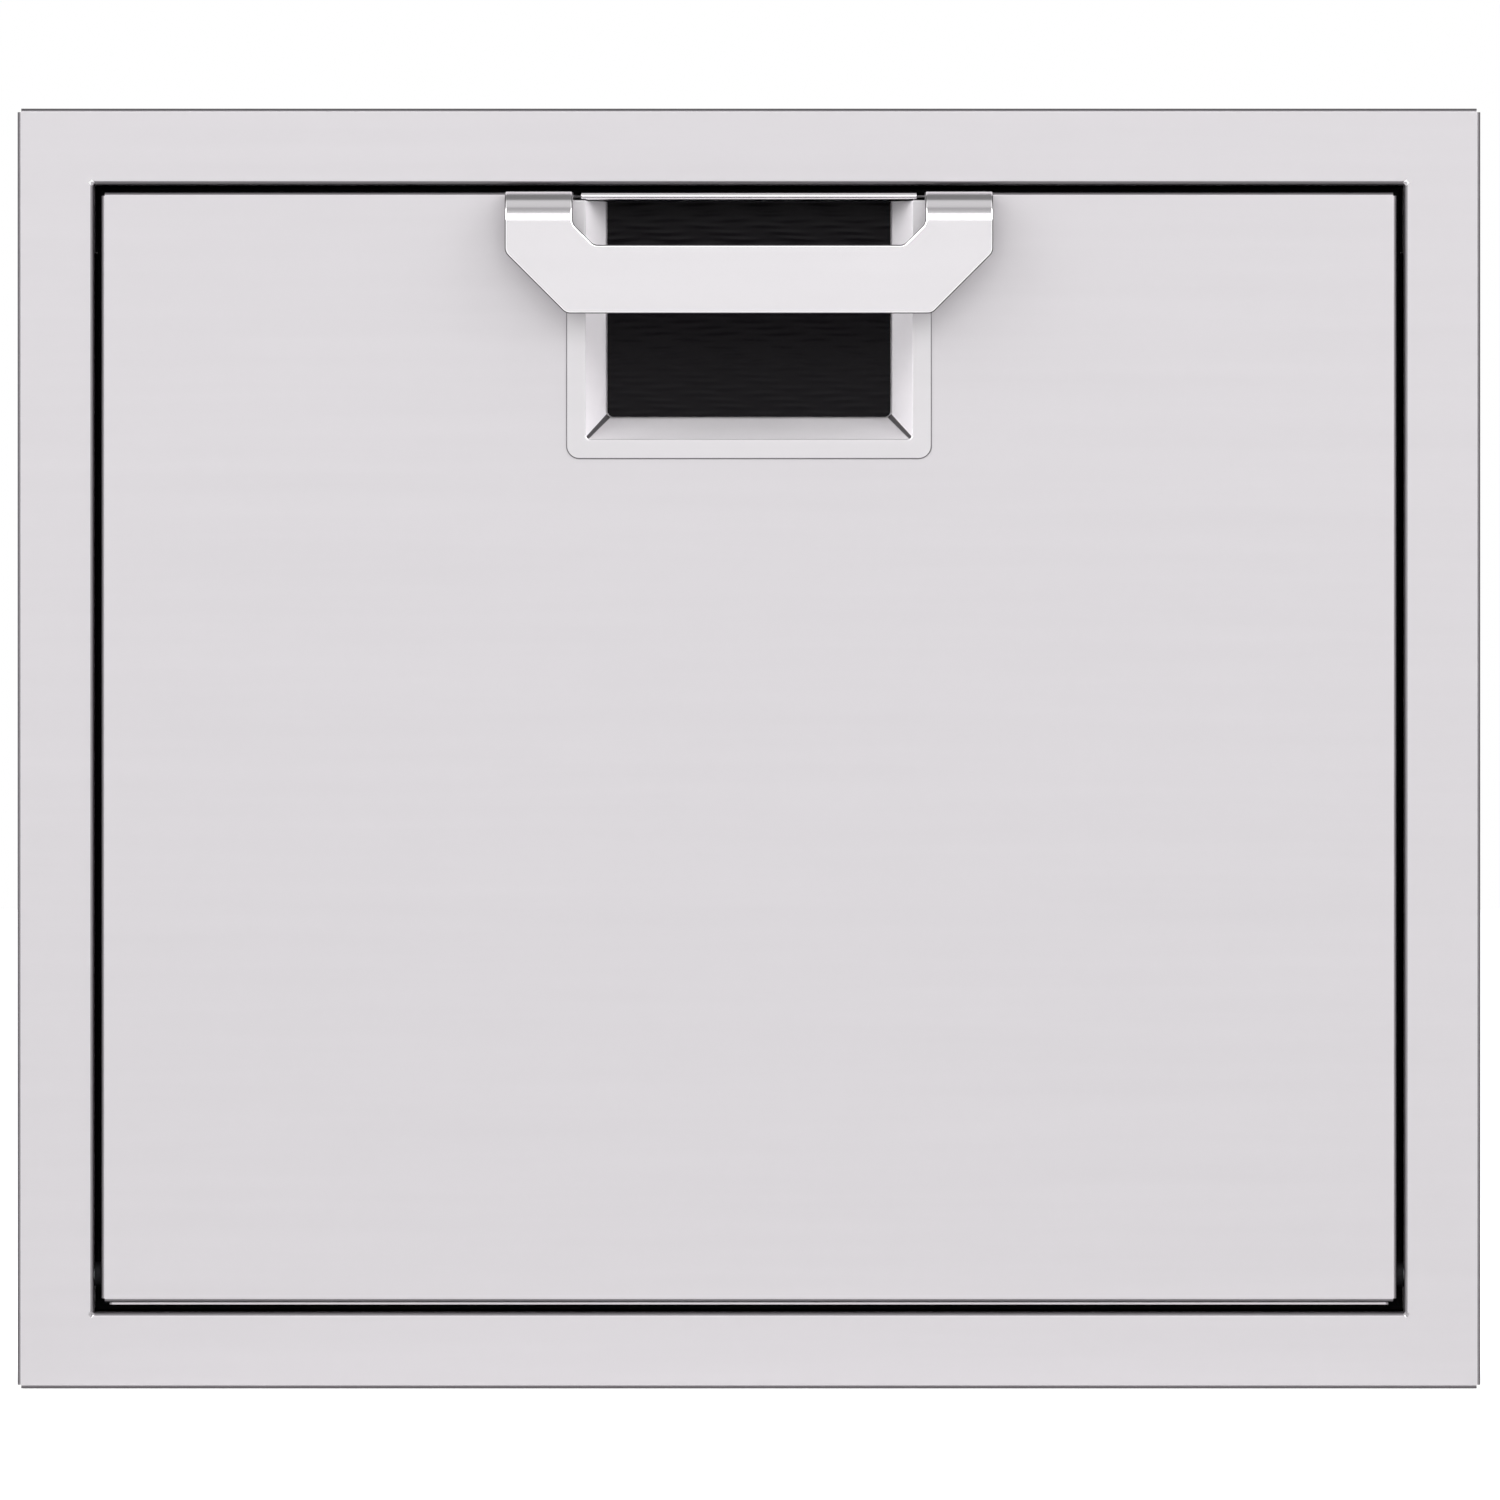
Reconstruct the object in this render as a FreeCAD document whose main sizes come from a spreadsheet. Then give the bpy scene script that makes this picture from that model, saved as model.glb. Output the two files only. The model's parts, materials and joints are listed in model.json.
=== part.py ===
"""Drop-down access door for a built-in outdoor kitchen.

X runs to the right, Y runs back into the island and Z runs up. The origin is the
centre of the cut-out in the island's face. Lengths are in millimetres.
"""

import FreeCAD, Part

import math
import os
import re

import Sketcher

# Driving sizes: name, value, what it measures
SIZES = (
    ("frame_wide", 609.6, "outside width of the frame"),
    ("frame_high", 533.4, "outside height of the frame"),
    ("flange_wide", 31.75, "face flange, from its outer edge to the opening"),
    ("lip_deep", 12.7, "outer lip, from the face back to the island"),
    ("sleeve_deep", 76.2, "sleeve behind the island's face"),
    ("frame_sheet", 1.2, "sheet of the frame"),
    ("outer_bend", 2.0, "outside radius of the lip's bend"),
    ("opening_bend", 1.8, "outside radius of the bend round the opening"),
    ("lip_notch", 2.2, "open corner between two lips"),
    ("relief_half", 1.4, "diagonal bend relief at each corner of the opening, centre to point"),
    ("relief_out", 0.9, "bend relief's centre outside the opening, each way"),
    ("screw_hole_radius", 2.75, "mounting hole in the sleeve's sides"),
    ("screw_hole_back", 45.0, "mounting hole behind the island's face"),
    ("screw_hole_up", 200.0, "mounting hole above and below the middle"),
    ("reveal", 3.175, "gap between door and frame, all round"),
    ("door_thick", 25.4, "door, from its face to the back of its liner"),
    ("skin_sheet", 1.0, "sheet of the door skin"),
    ("skin_bend", 1.8, "outside radius of the skin's bends"),
    ("skin_notch", 2.2, "open corner between two returns of the skin"),
    ("liner_sheet", 1.0, "sheet of the door liner"),
    ("liner_bend", 1.5, "outside radius of the liner's bends"),
    ("liner_lip", 10.0, "liner's side and top flanges, with the sheet"),
    ("lap_short", 3.4, "lap flange stops short of each side of the door"),
    ("lap_play", 0.2, "gap between the lap flange and the skin's return"),
    ("lap_set_back", 1.8, "lap flange's front edge behind the door's face"),
    ("pivot_back", 7.0, "hinge axis behind the door's face"),
    ("pivot_up", 12.7, "hinge axis above the door's lower edge"),
    ("pin_radius", 3.0, "hinge pin"),
    ("pin_head_radius", 4.7, "hinge pin's head"),
    ("pin_head_thick", 2.6, "hinge pin's head"),
    ("pin_reach", 22.0, "hinge pin inside the opening"),
    ("bush_wall", 1.5, "hinge bush round the pin"),
    ("bush_flange_radius", 5.2, "hinge bush's flange in the gap"),
    ("run_play", 0.05, "running and seating clearance of round fits"),
    ("bush_play", 0.2, "end play between bush and frame"),
    ("plate_thick", 3.0, "hinge plate outside the sleeve"),
    ("plate_deep", 40.0, "hinge plate along Y"),
    ("plate_high", 36.0, "hinge plate along Z"),
    ("block_wide", 18.0, "hinge block in the door's corner, along X"),
    ("block_high", 22.0, "hinge block along Z"),
    ("stop_behind", 18.0, "door stops' front behind the island's face"),
    ("stop_sheet", 1.2, "sheet of the door stops"),
    ("stop_bend", 1.8, "outside radius of the stops' bend"),
    ("stop_foot", 20.0, "stops' foot along the sleeve wall"),
    ("stop_side", 13.0, "side stops' leg into the opening"),
    ("stop_top_leg", 28.0, "top stop's leg down from the sleeve"),
    ("stop_bottom_leg", 14.0, "bottom stop's leg up from the sleeve"),
    ("seal_wide", 11.0, "door seal"),
    ("seal_edge", 1.2, "door seal from the sleeve wall"),
    ("seal_round", 2.0, "rounding of the door seal's front edges"),
    ("seal_play", 0.3, "door seal to the closed door"),
    ("seal_end_up", 14.0, "lower end of the side seals above the hinge axis"),
    ("sill_seal_thick", 1.0, "flat sill seal"),
    ("catch_across", 150.0, "magnetic catch from the middle"),
    ("catch_wide", 40.0, "catch housing"),
    ("catch_high", 10.0, "catch housing"),
    ("catch_back", 34.0, "rear of the catch housing"),
    ("catch_above_edge", 2.2, "catch housing above the top stop's lower edge"),
    ("catch_window_play", 0.4, "stop's window round the catch housing"),
    ("catch_wall", 1.75, "catch housing's wall round the magnet"),
    ("catch_ear", 11.0, "each ear of the catch housing"),
    ("catch_ear_thick", 2.0, "ears of the catch housing"),
    ("magnet_wide", 28.0, "magnet"),
    ("magnet_deep", 12.0, "magnet"),
    ("pole_thick", 1.2, "pole plate beside the magnet"),
    ("pole_proud", 0.4, "pole plates ahead of the housing"),
    ("catch_play", 0.2, "pole plates to the strike plate"),
    ("strike_wide", 36.0, "strike plate on the liner"),
    ("strike_high", 9.0, "strike plate on the liner"),
    ("strike_thick", 1.5, "strike plate on the liner"),
    ("rib_across", 150.0, "door stiffener from the middle"),
    ("rib_wide", 25.0, "door stiffener"),
    ("rib_sheet", 0.8, "sheet of the door stiffeners"),
    ("rib_end_play", 7.65, "stiffener's end below the strike plate"),
    ("handle_wide", 203.2, "handle"),
    ("handle_high", 50.8, "handle, from the door's top down"),
    ("handle_stand_off", 38.1, "front of the handle ahead of the door's face"),
    ("handle_plate", 3.0, "plate of the handle"),
    ("handle_bend", 12.7, "outside radius of the handle's front bend"),
    ("foot_bend", 4.5, "outside radius of the handle's rear bend"),
    ("bar_drop", 22.225, "top of the grip bar below the door's top"),
    ("arm_wide", 28.2, "each arm of the handle"),
    ("handle_chamfer", 25.4, "outer lower corner of the handle, each way"),
    ("handle_inner_chamfer", 8.75, "inner corner where an arm meets the bar"),
    ("handle_corner", 4.0, "rounding of the handle's corners"),
    ("handle_edge", 0.5, "bevel of the handle's front edges"),
    ("foot_high", 24.0, "handle's foot, from the door's top down"),
    ("foot_play", 1.4, "handle's feet clear of the bezel"),
    ("handle_screw_up", 10.0, "handle screws above the foot's lower edge"),
    ("handle_screw_radius", 2.5, "handle screw"),
    ("handle_screw_head_radius", 4.5, "handle screw's head"),
    ("handle_screw_head_thick", 2.4, "handle screw's head"),
    ("handle_screw_bite", 2.2, "handle screw in the foot"),
    ("backing_thick", 2.5, "backing plate behind the skin"),
    ("backing_wide", 21.2, "backing plate"),
    ("backing_margin", 1.4, "backing plate's lower edge above the foot's"),
    ("bezel_wide", 152.4, "bezel of the hand pocket"),
    ("bezel_high", 111.125, "bezel from the door's top down"),
    ("bezel_rim_side", 8.1, "bezel flange at the sides"),
    ("bezel_rim_foot", 8.1, "bezel flange at the bottom"),
    ("bezel_thick", 1.0, "bezel flange and the pocket's walls"),
    ("bezel_corner", 5.5, "lower outer corners of the bezel"),
    ("window_half", 73.3, "half the width of the skin's window"),
    ("window_inset", 4.0, "skin's window above the bezel's lower edge"),
    ("pocket_deep", 19.2, "pocket's back wall behind the bezel's face"),
    ("pocket_slope_side", 8.75, "each side wall leans in"),
    ("pocket_slope_foot", 9.3, "bottom wall leans up"),
    ("pocket_corner", 2.6, "inside rounding of the pocket's lower corners"),
    ("insert_thick", 1.5, "dark plate at the back of the pocket"),
    ("insert_play", 0.3, "dark plate inside the pocket"),
    ("rail_high", 3.175, "rounded rail over the pocket"),
    ("rail_half", 69.9, "half the length of the rail"),
    ("rail_play", 0.1, "rail above the pocket's walls"),
    ("stay_pivot_back", 26.0, "stay pivot behind the hinge axis"),
    ("stay_pivot_up", 100.0, "stay pivot above the hinge axis"),
    ("stay_long", 140.0, "stay arm, pivot to glide"),
    ("stay_lean", 12.0, "closed stay arm's lean back from upright, degrees"),
    ("stay_turn", 0.75, "turn of the stay arm for each turn of the door"),
    ("stay_half_wide", 6.0, "half the width of the stay arm"),
    ("stay_thick", 2.5, "stay arm"),
    ("stay_inside", 20.25, "stay arm's outer face from the sleeve wall"),
    ("stay_play", 0.3, "stay arm to its bracket"),
    ("stay_pin_radius", 2.5, "stay pivot rivet"),
    ("stay_head_radius", 4.5, "stay pivot rivet's head"),
    ("stay_head_thick", 1.4, "stay pivot rivet's heads"),
    ("glide_pin_radius", 2.9, "glide's pin in the stay arm"),
    ("glide_radius", 3.8, "glide's roller in the track"),
    ("glide_collar_radius", 6.6, "glide's collar behind the track"),
    ("glide_collar_thick", 1.3, "glide's collar behind the track"),
    ("glide_side_play", 0.4, "glide's collar to the track"),
    ("track_play", 0.4, "track slot round the roller"),
    ("track_sheet", 1.5, "sheet of the track"),
    ("track_gap", 3.2, "track's inner face from the stay arm"),
    ("track_bend", 2.5, "outside radius of the track's bends"),
    ("track_margin_front", 5.0, "track ahead of its slot"),
    ("track_margin_back", 6.0, "track behind its slot"),
    ("track_margin_end", 9.0, "track beyond its slot's ends"),
    ("track_foot", 13.5, "track's foot along the sleeve wall"),
    ("bracket_sheet", 1.5, "sheet of the stay bracket"),
    ("bracket_wide", 20.0, "stay bracket's base along X"),
    ("bracket_high", 32.0, "stay bracket along Z"),
    ("bracket_tip", 6.5, "stay bracket beyond its pivot"),
    ("handle_screw_room", 0.3, "blind hole beyond the handle screw's end"),
    ("cut_over", 1.0, "cuts run past the faces they open"),
    ("flat_left", 0.01, "short straight left between two full rounds, each way"),
)

SIDES = {"left": -1, "right": 1}
LEVEL_SLACK = 1e-4
LEAST_CUT = 1e-6

doc = FreeCAD.newDocument("AccessDoor")
sheet = doc.addObject("Spreadsheet::Sheet", "Sizes")
for row, (alias, amount, meaning) in enumerate(SIZES, start=1):
    sheet.set(f"A{row}", meaning)
    sheet.set(f"B{row}", str(amount))
    sheet.setAlias(f"B{row}", alias)
doc.recompute()

NAMES = {alias for alias, _, _ in SIZES}

# Places worked out from the driving sizes, as expressions
OPENING_X = "(frame_wide / 2 - flange_wide)"
OPENING_Z = "(frame_high / 2 - flange_wide)"
FRONT = "(0 - lip_deep)"
DOOR_X = f"({OPENING_X} - reveal)"
DOOR_Z = f"({OPENING_Z} - reveal)"
DOOR_BACK = "(door_thick - lip_deep)"
SKIN_BACK = f"({DOOR_BACK} - liner_sheet)"
SKIN_FOOT = f"(0 - {DOOR_Z} + liner_sheet + lap_play)"
LINER_X = f"({DOOR_X} - skin_sheet)"
LINER_TOP = f"({DOOR_Z} - skin_sheet)"
PIVOT_Y = "(pivot_back - lip_deep)"
PIVOT_Z = f"(pivot_up - {DOOR_Z})"
STOP_BACK = "(stop_behind + stop_sheet)"
BARREL = "(pin_radius + run_play + bush_wall)"
STAY_OUT = f"({OPENING_X} - stay_inside)"
STAY_IN = f"({STAY_OUT} - stay_thick)"
TRACK_IN = f"({STAY_OUT} + track_gap)"
TRACK_OUT = f"({TRACK_IN} + track_sheet)"
STOP_EDGE = f"({OPENING_Z} - stop_top_leg)"
CATCH_LOW = f"({STOP_EDGE} + catch_above_edge)"
STRIKE_FRONT = f"({DOOR_BACK} + strike_thick)"
POLE_FRONT = f"({STRIKE_FRONT} + catch_play)"
CATCH_FRONT = f"({POLE_FRONT} + pole_proud)"
CATCH_MIDDLE = f"({CATCH_LOW} + catch_high / 2)"
BEZEL_FOOT = f"({DOOR_Z} - bezel_high)"
MOUTH_X = "(bezel_wide / 2 - bezel_rim_side)"
MOUTH_FOOT = f"({BEZEL_FOOT} + bezel_rim_foot)"
RAIL_FOOT = f"({DOOR_Z} - rail_high)"
POCKET_TOP = f"({RAIL_FOOT} - rail_play)"
BEZEL_FACE = f"({FRONT} - bezel_thick)"
POCKET_BACK = f"({BEZEL_FACE} + pocket_deep)"
HANDLE_FACE = f"({FRONT} - handle_stand_off)"
ARM_EDGE = "(handle_wide / 2 - arm_wide)"
FOOT_IN = "(bezel_wide / 2 + foot_play)"
FOOT_MIDDLE = f"(({FOOT_IN} + handle_wide / 2) / 2)"
FOOT_EDGE = f"({DOOR_Z} - foot_high)"
HANDLE_SCREW_Z = f"({FOOT_EDGE} + handle_screw_up)"
RIB_END = f"({CATCH_MIDDLE} - strike_high / 2 - rib_end_play)"
BRACKET_EAR = f"({STAY_IN} - stay_play)"

nodes = {}


def cells(text):
    """Puts the sheet's name before each size in an expression."""

    def named(found):
        word = found.group(0)
        return f"Sizes.{word}" if word in NAMES else word

    return re.sub(r"[a-z_]+", named, text)


def value(text):
    """Works an expression out now, for starting places and edge choices."""
    return float(sheet.evalExpression(text))


def bind(item, prop, text):
    """Ties a property to an expression of the sheet."""
    item.setExpression(prop, cells(text))


def stay_pivot(turn):
    """Where the stay pivot is when the door has turned so many degrees."""
    cosine, sine = f"cos({turn} * 1 deg)", f"sin({turn} * 1 deg)"
    across = f"({PIVOT_Y} + stay_pivot_back * {cosine} - stay_pivot_up * {sine})"
    upward = f"({PIVOT_Z} + stay_pivot_back * {sine} + stay_pivot_up * {cosine})"
    return across, upward


def glide(turn):
    """Where the glide is then: the arm turns stay_turn times as far, backwards."""
    across, upward = stay_pivot(turn)
    lean = f"(stay_lean + stay_turn * {turn}) * 1 deg"
    return f"({across} + stay_long * sin({lean}))", f"({upward} + stay_long * cos({lean}))"


GLIDE_SHUT = glide(0)
GLIDE_HALF = glide(45)
GLIDE_OPEN = glide(90)


def new_body(label):
    """An empty body."""
    body = doc.addObject("PartDesign::Body", label)
    body.Label = label
    return body


def sketch_on(body, name, plane, at):
    """A sketch parallel to one of the body's own origin planes."""
    sketch = body.newObject("Sketcher::SketchObject", f"{body.Name}_{name}")
    role = f"{plane}_Plane"
    support = [item for item in body.Origin.OriginFeatures if item.Role == role]
    sketch.AttachmentSupport = [(support[0], "")]
    sketch.MapMode = "FlatFace"
    sign = "0 -" if plane == "XZ" else "0 +"
    bind(sketch, "AttachmentOffset.Base.z", f"{sign} ({at})")
    return sketch


def fix(sketch, kind, *terms):
    """Adds a dimension whose last term is an expression."""
    text = terms[-1]
    index = sketch.addConstraint(Sketcher.Constraint(kind, *terms[:-1], value(text)))
    sketch.renameConstraint(index, f"Size{index}")
    bind(sketch, f"Constraints.Size{index}", text)


def place_point(sketch, geometry, point, across, upward):
    """Puts a point of the sketch at two expressions; "0" lies on an axis."""
    if across == "0":
        sketch.addConstraint(Sketcher.Constraint("PointOnObject", geometry, point, -2))
    else:
        fix(sketch, "DistanceX", geometry, point, across)
    if upward == "0":
        sketch.addConstraint(Sketcher.Constraint("PointOnObject", geometry, point, -1))
    else:
        fix(sketch, "DistanceY", geometry, point, upward)


def outline(sketch, corners):
    """A closed outline through corners (across, up) or (across, up, radius)."""
    spots = [FreeCAD.Vector(value(c[0]), value(c[1]), 0) for c in corners]
    count = len(corners)
    starts, ends, arcs = list(spots), list(spots), {}
    for i, corner in enumerate(corners):
        if len(corner) < 3:
            continue
        radius = value(corner[2])
        back = (spots[i - 1] - spots[i]).normalize()
        ahead = (spots[(i + 1) % count] - spots[i]).normalize()
        half = back.getAngle(ahead) / 2
        reach = radius / math.tan(half)
        ends[i] = spots[i] + back * reach
        starts[i] = spots[i] + ahead * reach
        middle = (back + ahead).normalize()
        centre = spots[i] + middle * math.hypot(reach, radius)
        turns_left = back.cross(ahead).z < 0
        arcs[i] = (centre, radius, turns_left)
    lines = []
    for i in range(count):
        line = Part.LineSegment(starts[i], ends[(i + 1) % count])
        lines.append(sketch.addGeometry(line))
    for i, corner in enumerate(corners):
        before, after = lines[i - 1], lines[i]
        if i not in arcs:
            sketch.addConstraint(Sketcher.Constraint("Coincident", before, 2, after, 1))
            place_point(sketch, after, 1, corner[0], corner[1])
            continue
        centre, radius, turns_left = arcs[i]
        first, last = (ends[i], starts[i]) if turns_left else (starts[i], ends[i])
        circle = Part.Circle(centre, FreeCAD.Vector(0, 0, 1), radius)
        arc = Part.ArcOfCircle(circle, circle.parameter(first), circle.parameter(last))
        index = sketch.addGeometry(arc)
        near, far = (1, 2) if turns_left else (2, 1)
        sketch.addConstraint(Sketcher.Constraint("Tangent", before, 2, index, near))
        sketch.addConstraint(Sketcher.Constraint("Tangent", index, far, after, 1))
        fix(sketch, "Radius", index, corner[2])
        apex = sketch.addGeometry(Part.Point(spots[i]), True)
        sketch.addConstraint(Sketcher.Constraint("PointOnObject", apex, 1, before))
        sketch.addConstraint(Sketcher.Constraint("PointOnObject", apex, 1, after))
        place_point(sketch, apex, 1, corner[0], corner[1])


def rectangle(x0, x1, z0, z1):
    """Corners of an upright rectangle, anticlockwise."""
    return [(x0, z0), (x1, z0), (x1, z1), (x0, z1)]


def draw(body, name, plane, at, outlines, circles=()):
    """One sketch with closed outlines and (across, up, radius) circles."""
    sketch = sketch_on(body, name, plane, at)
    for corners in outlines:
        outline(sketch, corners)
    for across, upward, radius in circles:
        centre = FreeCAD.Vector(value(across), value(upward), 0)
        ring = Part.Circle(centre, FreeCAD.Vector(0, 0, 1), value(radius))
        index = sketch.addGeometry(ring)
        place_point(sketch, index, 3, across, upward)
        fix(sketch, "Radius", index, radius)
    return sketch


def add(body, name, plane, start, end, outlines, circles=()):
    """Pads outlines from one level to a higher one along the plane's axis."""
    feature = body.newObject("PartDesign::Pad", f"{body.Name}_{name}_pad")
    feature.Profile = draw(body, name, plane, start, outlines, circles)
    bind(feature, "Length", f"({end}) - ({start})")
    feature.Reversed = plane == "XZ"
    body.Tip = feature
    return feature


def cut(body, name, plane, start, end, outlines, circles=()):
    """Cuts outlines from one level to a higher one along the plane's axis."""
    feature = body.newObject("PartDesign::Pocket", f"{body.Name}_{name}_cut")
    feature.Profile = draw(body, name, plane, start, outlines, circles)
    bind(feature, "Length", f"({end}) - ({start})")
    feature.Reversed = plane != "XZ"
    body.Tip = feature
    return feature


def level(edge, axis, text):
    """Whether an edge lies wholly at one level of an axis."""
    box = edge.BoundBox
    low, high = getattr(box, f"{axis}Min"), getattr(box, f"{axis}Max")
    goal = value(text)
    return abs(low - goal) < LEVEL_SLACK and abs(high - goal) < LEVEL_SLACK


def round_edges(body, name, radius, chosen, kind="Fillet"):
    """Rounds or bevels the edges of the body's latest feature that pass a test."""
    doc.recompute()
    base = body.Tip
    numbered = enumerate(base.Shape.Edges, start=1)
    edges = [f"Edge{number}" for number, edge in numbered if chosen(edge)]
    if not edges:
        raise ValueError(f"no edge of {body.Label} fits {name}")
    feature = body.newObject(f"PartDesign::{kind}", f"{body.Name}_{name}")
    feature.Base = (base, edges)
    bind(feature, "Radius" if kind == "Fillet" else "Size", radius)
    body.Tip = feature
    return feature


def rim_test(depth, x_levels, z_levels):
    """Test for straight edges of a pan's rim at one depth."""

    def chosen(edge):
        on_side = any(level(edge, "X", x) for x in x_levels)
        on_end = any(level(edge, "Z", z) for z in z_levels)
        return level(edge, "Y", depth) and (on_side or on_end)

    return chosen


def turned(name, axis, steps, place, bore=None):
    """A turned piece of steps (radius, start, end) along X or Y, maybe bored."""
    body = new_body(name)
    sketch = sketch_on(body, "section", "XY", "0")
    floor = bore or "0"
    section = [(steps[0][1], floor)]
    for radius, start, end in steps:
        section += [(start, radius), (end, radius)]
    section.append((steps[-1][2], floor))
    if axis == "Y":
        section = [(across, along) for along, across in section]
    outline(sketch, section)
    feature = body.newObject("PartDesign::Revolution", f"{name}_turn")
    feature.Profile = sketch
    feature.ReferenceAxis = (sketch, ["H_Axis" if axis == "X" else "V_Axis"])
    feature.Angle = 360
    body.Tip = feature
    for letter, text in zip(("x", "y", "z"), place):
        bind(body, f"Placement.Base.{letter}", text)
    return body


def block(name, x_span, y_span, z_span):
    """A plain block between levels along each axis."""
    box = doc.addObject("Part::Box", name)
    spans = (("Length", "x", x_span), ("Width", "y", y_span), ("Height", "z", z_span))
    for size, letter, (low, high) in spans:
        bind(box, size, f"({high}) - ({low})")
        bind(box, f"Placement.Base.{letter}", low)
    return box


def rod(name, axis, radius, start, end, place):
    """A cylinder along X or Y, for bores and holes in plain blocks."""
    cylinder = doc.addObject("Part::Cylinder", name)
    bind(cylinder, "Radius", radius)
    bind(cylinder, "Height", f"({end}) - ({start})")
    turn = {"X": (FreeCAD.Vector(0, 1, 0), 90), "Y": (FreeCAD.Vector(1, 0, 0), -90)}
    cylinder.Placement.Rotation = FreeCAD.Rotation(*turn[axis])
    spots = {"X": (start, *place), "Y": (place[0], start, place[1])}
    for letter, text in zip(("x", "y", "z"), spots[axis]):
        bind(cylinder, f"Placement.Base.{letter}", text)
    return cylinder


def less(name, base, tools):
    """A solid with others cut out of it."""
    for number, tool in enumerate(tools, start=1):
        result = doc.addObject("Part::Cut", f"{name}_{number}")
        result.Base = base
        result.Tool = tool
        base = result
    return base


def group(label, members):
    """Like pieces kept together under one name."""
    compound = doc.addObject("Part::Compound", label)
    compound.Label = label
    compound.Links = members
    nodes[label] = compound


def single(body):
    """A piece that goes under its own name."""
    nodes[body.Label] = body


def sided(side, low, high):
    """A span along X, mirrored for the left side."""
    if side > 0:
        return low, high
    return f"(0 - ({high}))", f"(0 - ({low}))"


def side_steps(side, steps):
    """Steps of a turned piece along X, mirrored for the left side."""
    if side > 0:
        return steps
    return [(radius, *sided(side, low, high)) for radius, low, high in reversed(steps)]


def at_side(side, text):
    """A place along X, mirrored for the left side."""
    return text if side > 0 else f"(0 - ({text}))"


def mirrored(side, corners):
    """An outline's corners, mirrored for the left side and still anticlockwise."""
    if side > 0:
        return corners
    return [(at_side(side, c[0]), *c[1:]) for c in reversed(corners)]


# Frame body

def frame_bezel():
    """One bent sheet: face flange, outer lips and the sleeve round the opening."""
    body = new_body("frame_bezel")
    half_x, half_z = "frame_wide / 2", "frame_high / 2"
    outer = rectangle(f"0 - {half_x}", half_x, f"0 - {half_z}", half_z)
    inner = rectangle(f"0 - {OPENING_X}", OPENING_X, f"0 - {OPENING_Z}", OPENING_Z)
    wall_x, wall_z = f"{OPENING_X} + frame_sheet", f"{OPENING_Z} + frame_sheet"
    walls = rectangle(f"0 - ({wall_x})", wall_x, f"0 - ({wall_z})", wall_z)
    lip_x, lip_z = f"{half_x} - frame_sheet", f"{half_z} - frame_sheet"
    lips = rectangle(f"0 - ({lip_x})", lip_x, f"0 - ({lip_z})", lip_z)
    add(body, "face", "XZ", FRONT, f"{FRONT} + frame_sheet", [outer, inner])
    add(body, "lips", "XZ", FRONT, "0", [outer, lips])
    add(body, "sleeve", "XZ", FRONT, "sleeve_deep", [walls, inner])
    x_levels, z_levels = (half_x, f"0 - {half_x}"), (half_z, f"0 - {half_z}")
    round_edges(body, "lip_bend", "outer_bend", rim_test(FRONT, x_levels, z_levels))
    x_levels = (OPENING_X, f"0 - {OPENING_X}")
    z_levels = (OPENING_Z, f"0 - {OPENING_Z}")
    chosen = rim_test(FRONT, x_levels, z_levels)
    round_edges(body, "opening_bend", "opening_bend", chosen)
    x_levels, z_levels = (lip_x, f"0 - ({lip_x})"), (lip_z, f"0 - ({lip_z})")
    chosen = rim_test(f"{FRONT} + frame_sheet", x_levels, z_levels)
    round_edges(body, "inside_lip", "outer_bend - frame_sheet", chosen)
    x_levels, z_levels = (wall_x, f"0 - ({wall_x})"), (wall_z, f"0 - ({wall_z})")
    chosen = rim_test(f"{FRONT} + frame_sheet", x_levels, z_levels)
    round_edges(body, "inside_opening", "opening_bend - frame_sheet", chosen)
    notches, reliefs = [], []
    for x_sign in (-1, 1):
        for z_sign in (-1, 1):
            x_ends = (f"{x_sign} * ({half_x} - lip_notch)", f"{x_sign} * ({half_x} + cut_over)")
            z_ends = (f"{z_sign} * ({half_z} - lip_notch)", f"{z_sign} * ({half_z} + cut_over)")
            x_ends = x_ends if x_sign > 0 else x_ends[::-1]
            z_ends = z_ends if z_sign > 0 else z_ends[::-1]
            notches.append(rectangle(*x_ends, *z_ends))
            across = f"{x_sign} * ({OPENING_X} + relief_out)"
            upward = f"{z_sign} * ({OPENING_Z} + relief_out)"
            reliefs.append([(f"{across} - relief_half", upward),
                            (across, f"{upward} - relief_half"),
                            (f"{across} + relief_half", upward),
                            (across, f"{upward} + relief_half")])
    cut(body, "corner", "XZ", f"{FRONT} - cut_over", "cut_over", notches)
    relief_end = f"{FRONT} + opening_bend + relief_half"
    cut(body, "relief", "XZ", f"{FRONT} - cut_over", relief_end, reliefs)
    holes = [("screw_hole_back", f"{sign} * screw_hole_up", "screw_hole_radius")
             for sign in (-1, 1)]
    holes.append((PIVOT_Y, PIVOT_Z, "pin_radius + run_play"))
    reach = f"{OPENING_X} + 2 * frame_sheet"
    for side_name, side in SIDES.items():
        span = sided(side, f"{OPENING_X} - cut_over", reach)
        cut(body, f"{side_name}_holes", "YZ", *span, [], holes)
    single(body)


def stop_angle(name, plane, section, start, end):
    """A bent angle: its leg faces the door and its foot lies on the sleeve."""
    body = new_body(name)
    add(body, "angle", plane, start, end, [section])
    single(body)
    return body


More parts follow.
